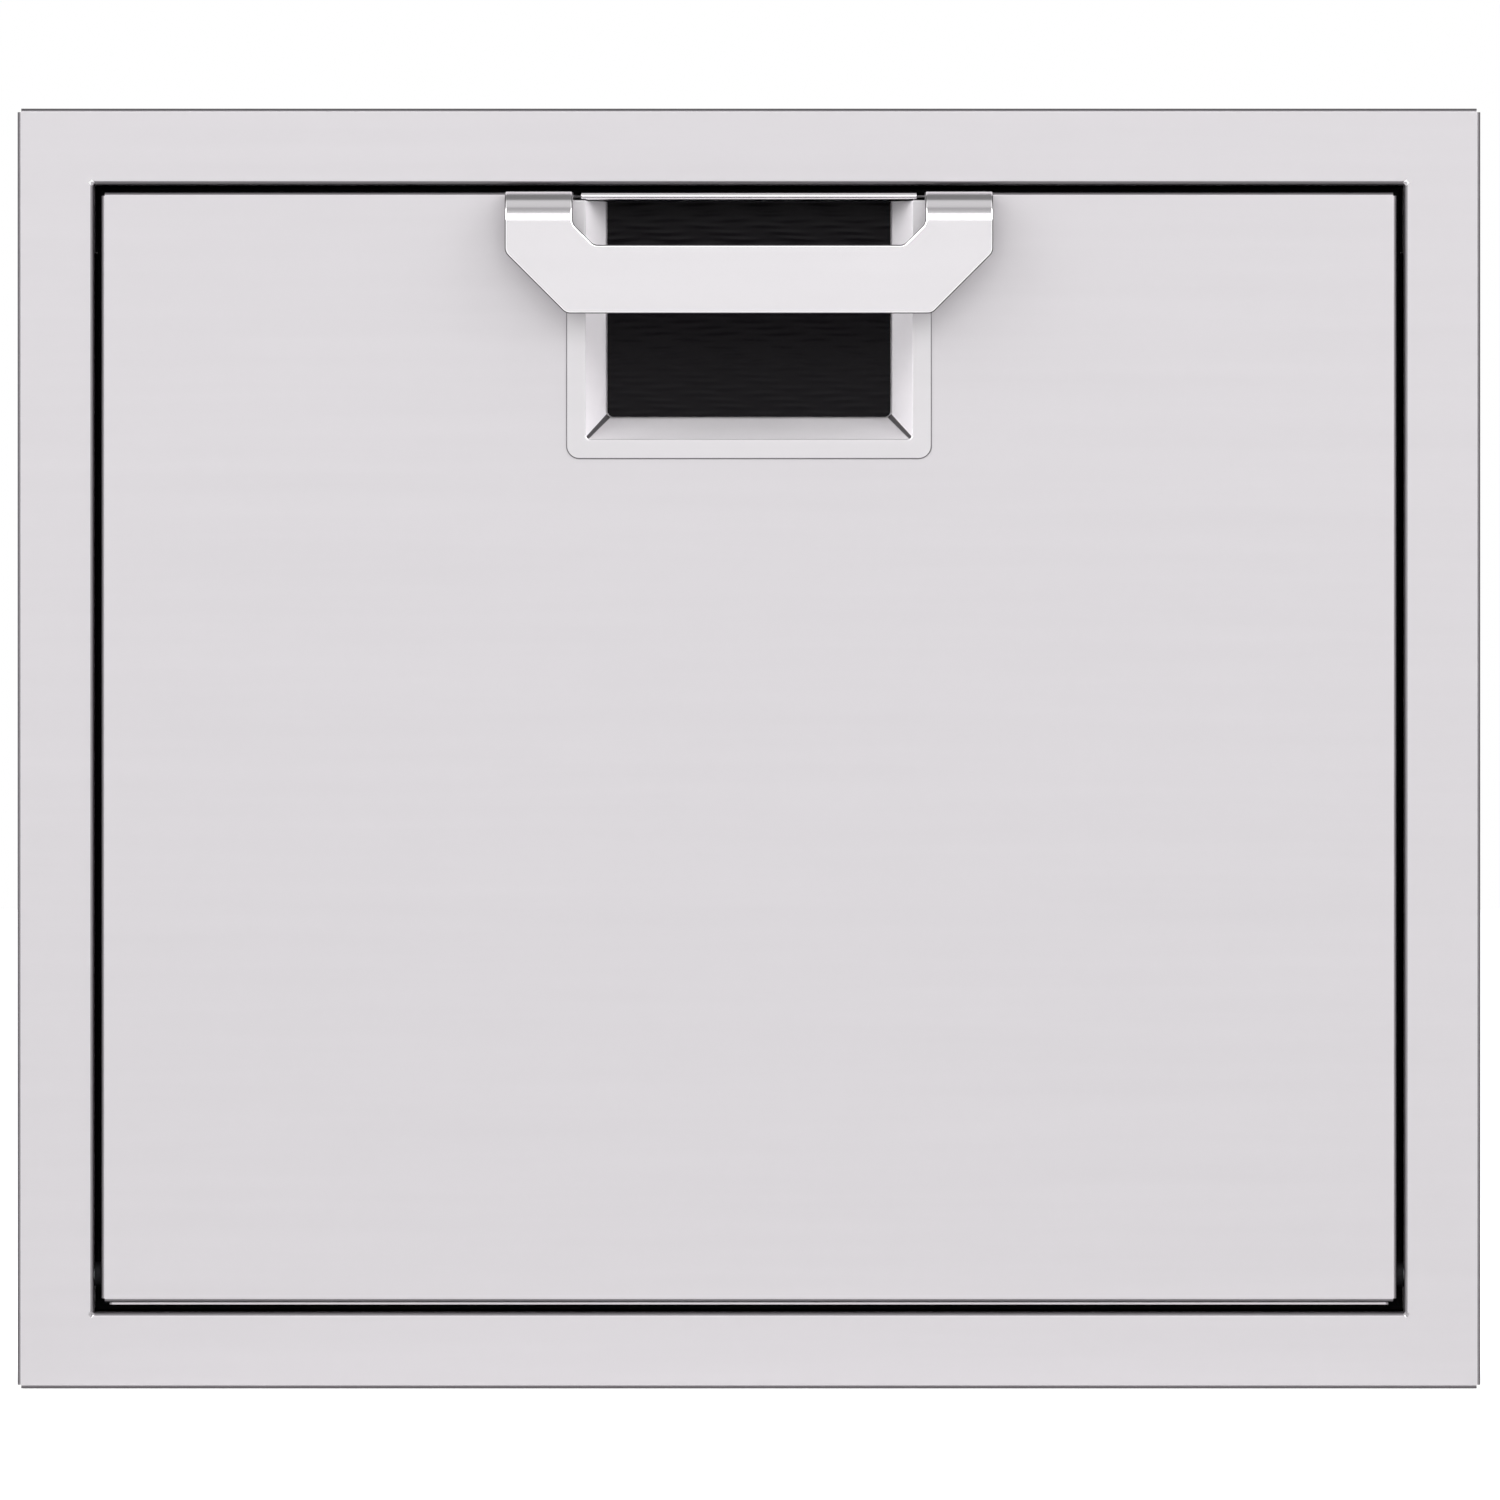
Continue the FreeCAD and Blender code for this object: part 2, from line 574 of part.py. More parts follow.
def door_stops():
    """Four angles inside the sleeve that the door and its seals close on."""
    inner_bend = "stop_bend - stop_sheet"
    foot_end = "stop_behind + stop_foot"
    end_play = "run_play"
    for side_name, side in SIDES.items():
        wall = OPENING_X
        section = [
            (f"{wall} - stop_side", "stop_behind"),
            (wall, "stop_behind", "stop_bend"),
            (wall, foot_end),
            (f"{wall} - stop_sheet", foot_end),
            (f"{wall} - stop_sheet", STOP_BACK, inner_bend),
            (f"{wall} - stop_side", STOP_BACK),
        ]
        low = f"stop_bottom_leg + {end_play} - {OPENING_Z}"
        high = f"{STOP_EDGE} - {end_play}"
        stop_angle(f"stop_{side_name}", "XY", mirrored(side, section), low, high)
    top_wall = OPENING_Z
    section = [
        ("stop_behind", STOP_EDGE),
        (STOP_BACK, STOP_EDGE),
        (STOP_BACK, f"{top_wall} - stop_sheet", inner_bend),
        (foot_end, f"{top_wall} - stop_sheet"),
        (foot_end, top_wall),
        ("stop_behind", top_wall, "stop_bend"),
    ]
    half = f"({OPENING_X} - {end_play})"
    top = stop_angle("stop_top", "YZ", section, f"0 - {half}", half)
    windows = []
    for side in SIDES.values():
        reach = "(catch_wide / 2 + catch_window_play)"
        span = sided(side, f"catch_across - {reach}", f"catch_across + {reach}")
        low, high = f"{CATCH_LOW} - catch_window_play", f"{CATCH_LOW} + catch_high"
        windows.append(rectangle(*span, low, f"{high} + catch_window_play"))
    cut(top, "windows", "XZ", "stop_behind - cut_over", f"{STOP_BACK} + cut_over", windows)
    floor = f"0 - {OPENING_Z}"
    section = [
        ("stop_behind", f"{floor}", "stop_bend"),
        (foot_end, floor),
        (foot_end, f"{floor} + stop_sheet"),
        (STOP_BACK, f"{floor} + stop_sheet", inner_bend),
        (STOP_BACK, f"{floor} + stop_bottom_leg"),
        ("stop_behind", f"{floor} + stop_bottom_leg"),
    ]
    stop_angle("stop_bottom", "YZ", section, f"0 - {half}", half)


def seals():
    """The door seal on three sides, and the flat sill seal where the heel swings."""
    outer_x = f"({OPENING_X} - seal_edge)"
    inner_x = f"({outer_x} - seal_wide)"
    top = f"({OPENING_Z} - seal_edge)"
    foot = f"({PIVOT_Z} + seal_end_up)"
    hoop = [
        (f"0 - {outer_x}", foot),
        (f"0 - {inner_x}", foot),
        (f"0 - {inner_x}", f"{top} - seal_wide"),
        (inner_x, f"{top} - seal_wide"),
        (inner_x, foot),
        (outer_x, foot),
        (outer_x, top),
        (f"0 - {outer_x}", top),
    ]
    body = new_body("door_seal")
    face = f"({DOOR_BACK} + seal_play)"
    add(body, "hoop", "XZ", face, "stop_behind", [hoop])
    ends = (outer_x, f"0 - {outer_x}", inner_x, f"0 - {inner_x}")
    chosen = rim_test(face, ends, (top, f"{top} - seal_wide"))
    round_edges(body, "bulb", "seal_round", chosen)
    single(body)
    body = new_body("sill_seal")
    floor = f"(0 - {OPENING_Z} + seal_edge)"
    sill_top = f"(stop_bottom_leg - {OPENING_Z} - run_play)"
    side_top = f"({foot} - seal_play)"
    tray = [
        (f"0 - {outer_x}", floor),
        (outer_x, floor),
        (outer_x, side_top),
        (inner_x, side_top),
        (inner_x, sill_top),
        (f"0 - {inner_x}", sill_top),
        (f"0 - {inner_x}", side_top),
        (f"0 - {outer_x}", side_top),
    ]
    add(body, "strip", "XZ", "stop_behind - sill_seal_thick", "stop_behind", [tray])
    single(body)


def magnetic_catches():
    """Two catches behind the top stop: housing, magnet and pole plates."""
    housings, magnets, poles = [], [], []
    for side_name, side in SIDES.items():
        centre = f"({side} * catch_across)"
        low_z, high_z = CATCH_LOW, f"{CATCH_LOW} + catch_high"
        body = new_body(f"catch_{side_name}")
        shell = rectangle(f"{centre} - catch_wide / 2", f"{centre} + catch_wide / 2",
                          low_z, high_z)
        ears = rectangle(f"{centre} - catch_wide / 2 - catch_ear",
                         f"{centre} + catch_wide / 2 + catch_ear", low_z, high_z)
        add(body, "shell", "XZ", CATCH_FRONT, "catch_back", [shell])
        add(body, "ears", "XZ", STOP_BACK, f"{STOP_BACK} + catch_ear_thick", [ears])
        slot = rectangle(f"{centre} - magnet_wide / 2 - run_play",
                         f"{centre} + magnet_wide / 2 + run_play",
                         f"{low_z} + catch_wall", f"{high_z} - catch_wall")
        slot_end = f"({POLE_FRONT} + pole_proud + magnet_deep + run_play)"
        cut(body, "slot", "XZ", f"{CATCH_FRONT} - cut_over", slot_end, [slot])
        housings.append(body)
        x_span = (f"{centre} - magnet_wide / 2", f"{centre} + magnet_wide / 2")
        magnet_front = f"({CATCH_FRONT} + pole_proud / 2)"
        inner_low = f"({low_z} + catch_wall + run_play)"
        inner_high = f"({high_z} - catch_wall - run_play)"
        rear = f"({CATCH_FRONT} + magnet_deep)"
        magnets.append(block(f"magnet_{side_name}", x_span, (magnet_front, rear),
                             (f"{inner_low} + pole_thick", f"{inner_high} - pole_thick")))
        poles.append(block(f"pole_low_{side_name}", x_span, (POLE_FRONT, rear),
                           (inner_low, f"{inner_low} + pole_thick")))
        poles.append(block(f"pole_high_{side_name}", x_span, (POLE_FRONT, rear),
                           (f"{inner_high} - pole_thick", inner_high)))
    group("catch_housings", housings)
    group("catch_magnets", magnets)
    group("catch_poles", poles)


def hinge_fixed_parts():
    """Pins from outside the sleeve, and the plates that stiffen it there."""
    pins, plates = [], []
    wall_out = f"({OPENING_X} + frame_sheet)"
    plate_out = f"({wall_out} + plate_thick)"
    for side_name, side in SIDES.items():
        steps = [("pin_radius", f"{OPENING_X} - pin_reach", plate_out),
                 ("pin_head_radius", plate_out, f"{plate_out} + pin_head_thick")]
        pins.append(turned(f"hinge_pin_{side_name}", "X", side_steps(side, steps),
                           ("0", PIVOT_Y, PIVOT_Z)))
        front = f"({PIVOT_Y} - pin_head_radius)"
        plate = block(f"hinge_plate_blank_{side_name}", sided(side, wall_out, plate_out),
                      (front, f"{front} + plate_deep"),
                      (f"{PIVOT_Z} - plate_high / 2", f"{PIVOT_Z} + plate_high / 2"))
        hole = rod(f"hinge_plate_hole_{side_name}", "X", "pin_radius + run_play",
                   *sided(side, f"{wall_out} - cut_over", f"{plate_out} + cut_over"),
                   (PIVOT_Y, PIVOT_Z))
        plates.append(less(f"hinge_plate_{side_name}", plate, [hole]))
    group("hinge_pins", pins)
    group("hinge_plates", plates)


def stay_track(side_name, side):
    """A bent plate on the sleeve wall with the arc slot that the glide follows."""
    body = new_body(f"stay_track_{side_name}")
    front = f"{GLIDE_OPEN[0]} - glide_radius - track_play - track_margin_front"
    back = f"({GLIDE_SHUT[0]} + glide_radius + track_play + track_margin_back)"
    inner_bend = "track_bend - track_sheet"
    wall = OPENING_X
    section = [
        (TRACK_IN, front),
        (TRACK_OUT, front),
        (TRACK_OUT, f"{back} - track_sheet", inner_bend),
        (wall, f"{back} - track_sheet", "track_bend"),
        (wall, f"{back} - track_sheet + track_foot"),
        (f"{wall} - track_sheet", f"{back} - track_sheet + track_foot"),
        (f"{wall} - track_sheet", back, inner_bend),
        (TRACK_IN, back, "track_bend"),
    ]
    end_reach = "glide_radius + track_play + track_margin_end"
    add(body, "plate", "XY", f"{GLIDE_OPEN[1]} - ({end_reach})",
        f"{GLIDE_SHUT[1]} + {end_reach}", [mirrored(side, section)])
    start, end = sided(side, f"{TRACK_IN} - cut_over", f"{TRACK_OUT} + cut_over")
    slot = sketch_on(body, "slot", "YZ", start)
    arc_slot(slot)
    feature = body.newObject("PartDesign::Pocket", f"{body.Name}_slot_cut")
    feature.Profile = slot
    bind(feature, "Length", f"({end}) - ({start})")
    feature.Reversed = True
    body.Tip = feature
    single(body)


def arc_slot(sketch):
    """A slot whose middle line is the arc through three places of the glide."""
    spots = {place: FreeCAD.Vector(value(place[0]), value(place[1]), 0)
             for place in (GLIDE_OPEN, GLIDE_HALF, GLIDE_SHUT)}
    middle_arc = Part.Arc(*spots.values()).toShape().Curve
    centre, radius = middle_arc.Center, middle_arc.Radius
    half = value("glide_radius + track_play")
    upright = FreeCAD.Vector(0, 0, 1)
    path_circle = Part.Circle(centre, upright, radius)
    angle_of = {place: path_circle.parameter(spot) for place, spot in spots.items()}
    limits = sorted((GLIDE_OPEN, GLIDE_SHUT), key=angle_of.get)
    angles = [angle_of[place] for place in limits]
    path = sketch.addGeometry(Part.ArcOfCircle(path_circle, *angles), True)
    spans = []
    for reach in (radius - half, radius + half):
        circle = Part.Circle(centre, upright, reach)
        spans.append(sketch.addGeometry(Part.ArcOfCircle(circle, *angles)))
    near, far = spans
    ends = []
    for place, start in zip(limits, (math.pi, 0)):
        circle = Part.Circle(spots[place], upright, half)
        first_angle = angle_of[place] + start
        arc = Part.ArcOfCircle(circle, first_angle, first_angle + math.pi)
        ends.append(sketch.addGeometry(arc))
    sketch.addConstraint(Sketcher.Constraint("Coincident", near, 3, path, 3))
    sketch.addConstraint(Sketcher.Constraint("Vertical", far, 3, path, 3))
    for number, end in enumerate(ends, start=1):
        sketch.addConstraint(Sketcher.Constraint("Coincident", end, 3, path, number))
    first, last = ends
    for one, point, other, meets in ((first, 1, near, 1), (first, 2, far, 1),
                                     (last, 1, far, 2), (last, 2, near, 2)):
        sketch.addConstraint(Sketcher.Constraint("Tangent", one, point, other, meets))
    fix(sketch, "Radius", first, "glide_radius + track_play")
    place_point(sketch, path, 1, *limits[0])
    place_point(sketch, path, 2, *limits[1])
    passing = sketch.addGeometry(Part.Point(spots[GLIDE_HALF]), True)
    place_point(sketch, passing, 1, *GLIDE_HALF)
    sketch.addConstraint(Sketcher.Constraint("PointOnObject", passing, 1, path))


# Door body

def door_skin():
    """The front sheet with its four returns and the window for the hand pocket."""
    body = new_body("door_skin")
    left, foot, top = f"0 - {DOOR_X}", SKIN_FOOT, DOOR_Z
    outer = rectangle(left, DOOR_X, foot, top)
    in_x, in_foot, in_top = f"{DOOR_X} - skin_sheet", f"{foot} + skin_sheet", f"{top} - skin_sheet"
    inner = rectangle(f"0 - ({in_x})", in_x, in_foot, in_top)
    add(body, "face", "XZ", FRONT, f"{FRONT} + skin_sheet", [outer])
    add(body, "returns", "XZ", FRONT, SKIN_BACK, [outer, inner])
    chosen = rim_test(FRONT, (DOOR_X, left), (foot, top))
    round_edges(body, "bend", "skin_bend", chosen)
    chosen = rim_test(f"{FRONT} + skin_sheet", (in_x, f"0 - ({in_x})"), (in_foot, in_top))
    round_edges(body, "inside_bend", "skin_bend - skin_sheet", chosen)
    cuts = []
    for side in SIDES.values():
        span = sided(side, f"{DOOR_X} - skin_notch", f"{DOOR_X} + cut_over")
        cuts.append(rectangle(*span, f"{top} - skin_notch", f"{top} + cut_over"))
        cuts.append(rectangle(*span, f"{foot} - cut_over", f"{foot} + skin_notch"))
    window_foot = f"{BEZEL_FOOT} + window_inset"
    cuts.append(rectangle("0 - window_half", "window_half", window_foot, f"{top} + cut_over"))
    cut(body, "openings", "XZ", f"{FRONT} - cut_over", f"{SKIN_BACK} + cut_over", cuts)
    for side_name, side in SIDES.items():
        span = sided(side, f"{DOOR_X} - 2 * skin_sheet", f"{DOOR_X} + cut_over")
        hole = (PIVOT_Y, PIVOT_Z, f"{BARREL} + run_play")
        cut(body, f"{side_name}_bush_hole", "YZ", *span, [], [hole])
    screws = [(x, z, "handle_screw_radius + run_play") for x, z in handle_screw_places()]
    cut(body, "handle_holes", "XZ", f"{FRONT} - cut_over", f"{FRONT} + 2 * skin_sheet", [], screws)
    single(body)


def door_liner():
    """The rear pan: side and top flanges inside the skin, bottom one lapped under."""
    body = new_body("door_liner")
    foot = f"(0 - {DOOR_Z})"
    add(body, "sheet", "XZ", SKIN_BACK, DOOR_BACK,
        [rectangle(f"0 - {LINER_X}", LINER_X, foot, LINER_TOP)])
    in_x, in_top = f"({LINER_X} - liner_sheet)", f"({LINER_TOP} - liner_sheet)"
    side_foot = f"({SKIN_FOOT} + skin_sheet + lap_play)"
    hoop = [
        (f"0 - {LINER_X}", side_foot),
        (f"0 - {in_x}", side_foot),
        (f"0 - {in_x}", in_top),
        (in_x, in_top),
        (in_x, side_foot),
        (LINER_X, side_foot),
        (LINER_X, LINER_TOP),
        (f"0 - {LINER_X}", LINER_TOP),
    ]
    add(body, "flanges", "XZ", f"{DOOR_BACK} - liner_lip", SKIN_BACK, [hoop])
    lap_x = f"({DOOR_X} - lap_short)"
    lap_front = f"({FRONT} + lap_set_back)"
    lap = [
        (f"0 - {lap_x} + liner_sheet", lap_front),
        (f"{lap_x} - liner_sheet", lap_front),
        (lap_x, f"{lap_front} + liner_sheet"),
        (lap_x, SKIN_BACK),
        (f"0 - {lap_x}", SKIN_BACK),
        (f"0 - {lap_x}", f"{lap_front} + liner_sheet"),
    ]
    add(body, "lap", "XY", foot, f"{foot} + liner_sheet", [lap])
    notches = []
    for side in SIDES.values():
        span = sided(side, f"{LINER_X} - skin_notch", f"{LINER_X} + cut_over")
        notches.append(rectangle(*span, f"{LINER_TOP} - skin_notch", f"{LINER_TOP} + cut_over"))
        span = sided(side, lap_x, f"{LINER_X} + cut_over")
        notches.append(rectangle(*span, f"{foot} - cut_over", side_foot))
    cut(body, "corners", "XZ", f"{FRONT} - cut_over", f"{DOOR_BACK} + cut_over", notches)
    chosen = rim_test(DOOR_BACK, (LINER_X, f"0 - {LINER_X}"), (LINER_TOP, foot))
    round_edges(body, "bend", "liner_bend", chosen)
    single(body)


def door_stiffeners():
    """Two upright channels between skin and liner."""
    ribs = []
    front, back = f"({FRONT} + skin_sheet)", SKIN_BACK
    near, far = "(rib_across - rib_wide / 2)", "(rib_across + rib_wide / 2)"
    section = [
        (near, front),
        (far, front),
        (far, f"{front} + rib_sheet"),
        (f"{near} + rib_sheet", f"{front} + rib_sheet"),
        (f"{near} + rib_sheet", f"{back} - rib_sheet"),
        (far, f"{back} - rib_sheet"),
        (far, back),
        (near, back),
    ]
    for side_name, side in SIDES.items():
        body = new_body(f"stiffener_{side_name}")
        add(body, "channel", "XY", f"0 - {RIB_END}", RIB_END, [mirrored(side, section)])
        ribs.append(body)
    group("door_stiffeners", ribs)


def handle_screw_places():
    """Where the handle's screws go, across and up: one in the middle of each foot."""
    return [(f"{side} * {FOOT_MIDDLE}", HANDLE_SCREW_Z) for side in SIDES.values()]


def strike_plates():
    """Steel plates on the liner that the magnets pull."""
    plates = []
    for side_name, side in SIDES.items():
        body = new_body(f"strike_{side_name}")
        centre = f"({side} * catch_across)"
        blank = rectangle(f"{centre} - strike_wide / 2", f"{centre} + strike_wide / 2",
                          f"{CATCH_MIDDLE} - strike_high / 2",
                          f"{CATCH_MIDDLE} + strike_high / 2")
        add(body, "plate", "XZ", DOOR_BACK, STRIKE_FRONT, [blank])
        plates.append(body)
    group("strike_plates", plates)


def hinge_door_parts():
    """Blocks in the door's lower corners, and the flanged bushes in them."""
    blocks, bushes = [], []
    outer = f"({LINER_X} - liner_sheet)"
    inner = f"({outer} - block_wide)"
    foot = f"({SKIN_FOOT} + skin_sheet)"
    front = f"({FRONT} + skin_bend)"
    bore = f"({BARREL} + run_play)"
    for side_name, side in SIDES.items():
        blank = block(f"hinge_block_blank_{side_name}", sided(side, inner, outer),
                      (front, SKIN_BACK), (foot, f"{foot} + block_high"))
        hole = rod(f"hinge_block_bore_{side_name}", "X", bore,
                   *sided(side, f"{inner} - cut_over", f"{outer} + cut_over"), (PIVOT_Y, PIVOT_Z))
        blocks.append(less(f"hinge_block_{side_name}", blank, [hole]))
        steps = [(BARREL, inner, DOOR_X),
                 ("bush_flange_radius", DOOR_X, f"{OPENING_X} - bush_play")]
        bushes.append(turned(f"hinge_bush_{side_name}", "X", side_steps(side, steps),
                             ("0", PIVOT_Y, PIVOT_Z), bore="pin_radius + run_play"))
    group("hinge_blocks", blocks)
    group("hinge_bushes", bushes)


def handle():
    """A bent plate: feet on the door, a web level with its top, arms and grip bar."""
    body = new_body("handle")
    half = "handle_wide / 2"
    top, foot = DOOR_Z, f"({DOOR_Z} - handle_high)"
    under = f"({top} - handle_plate)"
    section = [
        (HANDLE_FACE, foot),
        (f"{HANDLE_FACE} + handle_plate", foot),
        (f"{HANDLE_FACE} + handle_plate", under, "handle_bend - handle_plate"),
        (f"{FRONT} - handle_plate", under, "foot_bend - handle_plate"),
        (f"{FRONT} - handle_plate", FOOT_EDGE),
        (FRONT, FOOT_EDGE),
        (FRONT, top, "foot_bend"),
        (HANDLE_FACE, top, "handle_bend"),
    ]
    add(body, "bent_plate", "YZ", f"0 - {half}", half, [section])
    bar_top = f"({top} - bar_drop)"
    well = [
        (f"0 - {ARM_EDGE} + handle_inner_chamfer", bar_top, "handle_corner"),
        (f"{ARM_EDGE} - handle_inner_chamfer", bar_top, "handle_corner"),
        (ARM_EDGE, f"{bar_top} + handle_inner_chamfer", "handle_corner"),
        (ARM_EDGE, f"{top} + cut_over"),
        (f"0 - {ARM_EDGE}", f"{top} + cut_over"),
        (f"0 - {ARM_EDGE}", f"{bar_top} + handle_inner_chamfer", "handle_corner"),
    ]
    cut(body, "well", "XZ", f"{HANDLE_FACE} - cut_over", f"{FRONT} + cut_over", [well])
    corners = []
    for side in SIDES.values():
        corner = [
            (f"{half} - handle_chamfer", f"{foot} - cut_over"),
            (f"{half} + cut_over", f"{foot} - cut_over"),
            (f"{half} + cut_over", f"{foot} + handle_chamfer"),
            (half, f"{foot} + handle_chamfer", "handle_corner"),
            (f"{half} - handle_chamfer", foot, "handle_corner"),
        ]
        corners.append(mirrored(side, corner))
    rear = f"({FRONT} - 2 * foot_bend)"
    cut(body, "corners", "XZ", f"{HANDLE_FACE} - cut_over", rear, corners)
    gaps = rectangle(f"0 - {FOOT_IN}", FOOT_IN, f"{FOOT_EDGE} - cut_over", f"{top} + cut_over")
    cut(body, "between_feet", "XZ", f"{FRONT} - foot_bend", f"{FRONT} + cut_over", [gaps])
    screws = [(x, z, "handle_screw_radius") for x, z in handle_screw_places()]
    screw_end = f"{FRONT} - handle_screw_bite - handle_screw_room"
    cut(body, "screw_holes", "XZ", screw_end, FRONT, [], screws)
    doc.recompute()
    bend_start = value(f"{top} - handle_bend") + 10 * LEVEL_SLACK

    def front_rim(edge):
        return level(edge, "Y", HANDLE_FACE) and edge.BoundBox.ZMax < bend_start

    round_edges(body, "edge", "handle_edge", front_rim, "Chamfer")
    single(body)


def handle_fixings():
    """Plates behind the skin and the screws that pull the feet against it."""
    plates = []
    back = f"({FRONT} + skin_sheet)"
    rear = f"({back} + backing_thick)"
    near, far = f"{FOOT_MIDDLE} - backing_wide / 2", f"{FOOT_MIDDLE} + backing_wide / 2"
    for side_name, side in SIDES.items():
        body = new_body(f"backing_{side_name}")
        blank = rectangle(near, far, f"{FOOT_EDGE} + backing_margin", f"{DOOR_Z} - foot_bend")
        add(body, "plate", "XZ", back, rear, [mirrored(side, blank)])
        spots = [(x, z, "handle_screw_radius + run_play")
                 for x, z in handle_screw_places() if value(x) * side > 0]
        cut(body, "holes", "XZ", f"{back} - cut_over", f"{rear} + cut_over", [], spots)
        plates.append(body)
    group("handle_backing", plates)
    steps = [("handle_screw_radius - run_play", f"{FRONT} - handle_screw_bite", rear),
             ("handle_screw_head_radius", rear, f"{rear} + handle_screw_head_thick")]
    group("handle_screws", [turned(f"handle_screw_{i}", "Y", steps, (x, "0", z))
                            for i, (x, z) in enumerate(handle_screw_places(), start=1)])


def pocket_section(grow, lean_share, high):
    """The pocket's cross section, drawn in as it goes deeper."""
    across = f"({MOUTH_X} + ({grow}) - {lean_share} * pocket_slope_side)"
    foot = f"({MOUTH_FOOT} - ({grow}) + {lean_share} * pocket_slope_foot)"
    return rectangle(f"0 - {across}", across, foot, high)


def pocket_corner_edge(edge):
    """Whether an edge is one of the pocket's two lower corners, mouth to back."""
    box = edge.BoundBox
    starts = abs(box.YMin - value(BEZEL_FACE)) < LEVEL_SLACK
    ends = abs(box.YMax - value(POCKET_BACK)) < LEVEL_SLACK
    highest = value(f"{MOUTH_FOOT} + pocket_slope_foot") + LEVEL_SLACK
    return starts and ends and box.ZMax < highest


def hand_pocket():
    """The pressed pocket: U-shaped bezel flange, leaning walls and back wall."""
    body = new_body("hand_pocket")
    half = "bezel_wide / 2"
    flange = [(f"0 - {half}", BEZEL_FOOT, "bezel_corner"), (half, BEZEL_FOOT, "bezel_corner"),
              (half, POCKET_TOP), (f"0 - {half}", POCKET_TOP)]
    add(body, "flange", "XZ", BEZEL_FACE, FRONT, [flange])
    rear = f"({POCKET_BACK} + bezel_thick)"
    outside = body.newObject("PartDesign::AdditiveLoft", "hand_pocket_outside")
    outside.Profile = draw(body, "outside_mouth", "XZ", FRONT,
                           [pocket_section("bezel_thick", "0", POCKET_TOP)])
    outside.Sections = [draw(body, "outside_back", "XZ", rear,
                             [pocket_section("bezel_thick", "1", POCKET_TOP)])]
    outside.Ruled = True
    body.Tip = outside
    inside = body.newObject("PartDesign::SubtractiveLoft", "hand_pocket_inside")
    over = f"{POCKET_TOP} + cut_over"
    inside.Profile = draw(body, "inside_mouth", "XZ", BEZEL_FACE,
                          [pocket_section("0", "0", over)])
    inside.Sections = [draw(body, "inside_back", "XZ", POCKET_BACK,
                            [pocket_section("0", "1", over)])]
    inside.Ruled = True
    body.Tip = inside
    round_edges(body, "inside_corner", "pocket_corner", pocket_corner_edge)
    single(body)
    plate = new_body("pocket_insert")
    left, right, high, top = pocket_section("0 - insert_play", "1", f"{POCKET_TOP} - insert_play")
    section = [(*left, "pocket_corner"), (*right, "pocket_corner"), high, top]
    add(plate, "plate", "XZ", f"{POCKET_BACK} - insert_thick", POCKET_BACK, [section])
    single(plate)


def pocket_rail():
    """The folded rail with a half-round nose that closes the window's top."""
    body = new_body("pocket_rail")
    top, foot, gauge = DOOR_Z, RAIL_FOOT, "bezel_thick"
    nose = f"({BEZEL_FACE})"
    outer_round = "rail_high / 2 - flat_left"
    inner_round = "rail_high / 2 - bezel_thick - flat_left"
    section = [
        (nose, foot, outer_round),
        (POCKET_BACK, foot),
        (POCKET_BACK, f"{foot} + {gauge}"),
        (f"{nose} + {gauge}", f"{foot} + {gauge}", inner_round),
        (f"{nose} + {gauge}", f"{top} - {gauge}", inner_round),
        (SKIN_BACK, f"{top} - {gauge}"),
        (SKIN_BACK, top),
        (nose, top, outer_round),
    ]
    add(body, "fold", "YZ", "0 - rail_half", "rail_half", [section])
    single(body)


def stay_brackets():
    """Angle brackets on the liner whose ears carry the stay arms."""
    brackets = []
    base = f"({DOOR_BACK} + bracket_sheet)"
    ear_in = f"({BRACKET_EAR} - bracket_sheet)"
    pivot_y, pivot_z = f"({PIVOT_Y} + stay_pivot_back)", f"({PIVOT_Z} + stay_pivot_up)"
    tip = f"({pivot_y} + bracket_tip)"
    section = [
        (f"{BRACKET_EAR} - bracket_wide", DOOR_BACK),
        (BRACKET_EAR, DOOR_BACK, "track_bend"),
        (BRACKET_EAR, tip),
        (ear_in, tip),
        (ear_in, base, "track_bend - bracket_sheet"),
        (f"{BRACKET_EAR} - bracket_wide", base),
    ]
    low, high = f"({pivot_z} - bracket_high / 2)", f"({pivot_z} + bracket_high / 2)"
    for side_name, side in SIDES.items():
        body = new_body(f"bracket_{side_name}")
        add(body, "angle", "XY", low, high, [mirrored(side, section)])
        ends = [f"({pivot_z} + {sign} * bracket_high / 2)" for sign in (-1, 1)]

        def tip_corner(edge):
            return level(edge, "Y", tip) and any(level(edge, "Z", end) for end in ends)

        round_edges(body, "tip", "bracket_high / 4", tip_corner, "Chamfer")
        span = sided(side, f"{ear_in} - cut_over", f"{BRACKET_EAR} + cut_over")
        cut(body, "pivot_hole", "YZ", *span, [],
            [(pivot_y, pivot_z, "stay_pin_radius + run_play")])
        brackets.append(body)
    group("stay_brackets", brackets)
    steps = [("stay_head_radius", f"{ear_in} - stay_head_thick", ear_in),
             ("stay_pin_radius", ear_in, f"{STAY_OUT} + stay_play"),
             ("stay_head_radius", f"{STAY_OUT} + stay_play",
              f"{STAY_OUT} + stay_play + stay_head_thick")]
    group("stay_pivots", [turned(f"stay_pivot_{name}", "X", side_steps(side, steps),
                                 ("0", pivot_y, pivot_z))
                          for name, side in SIDES.items()])


# Stay bodies

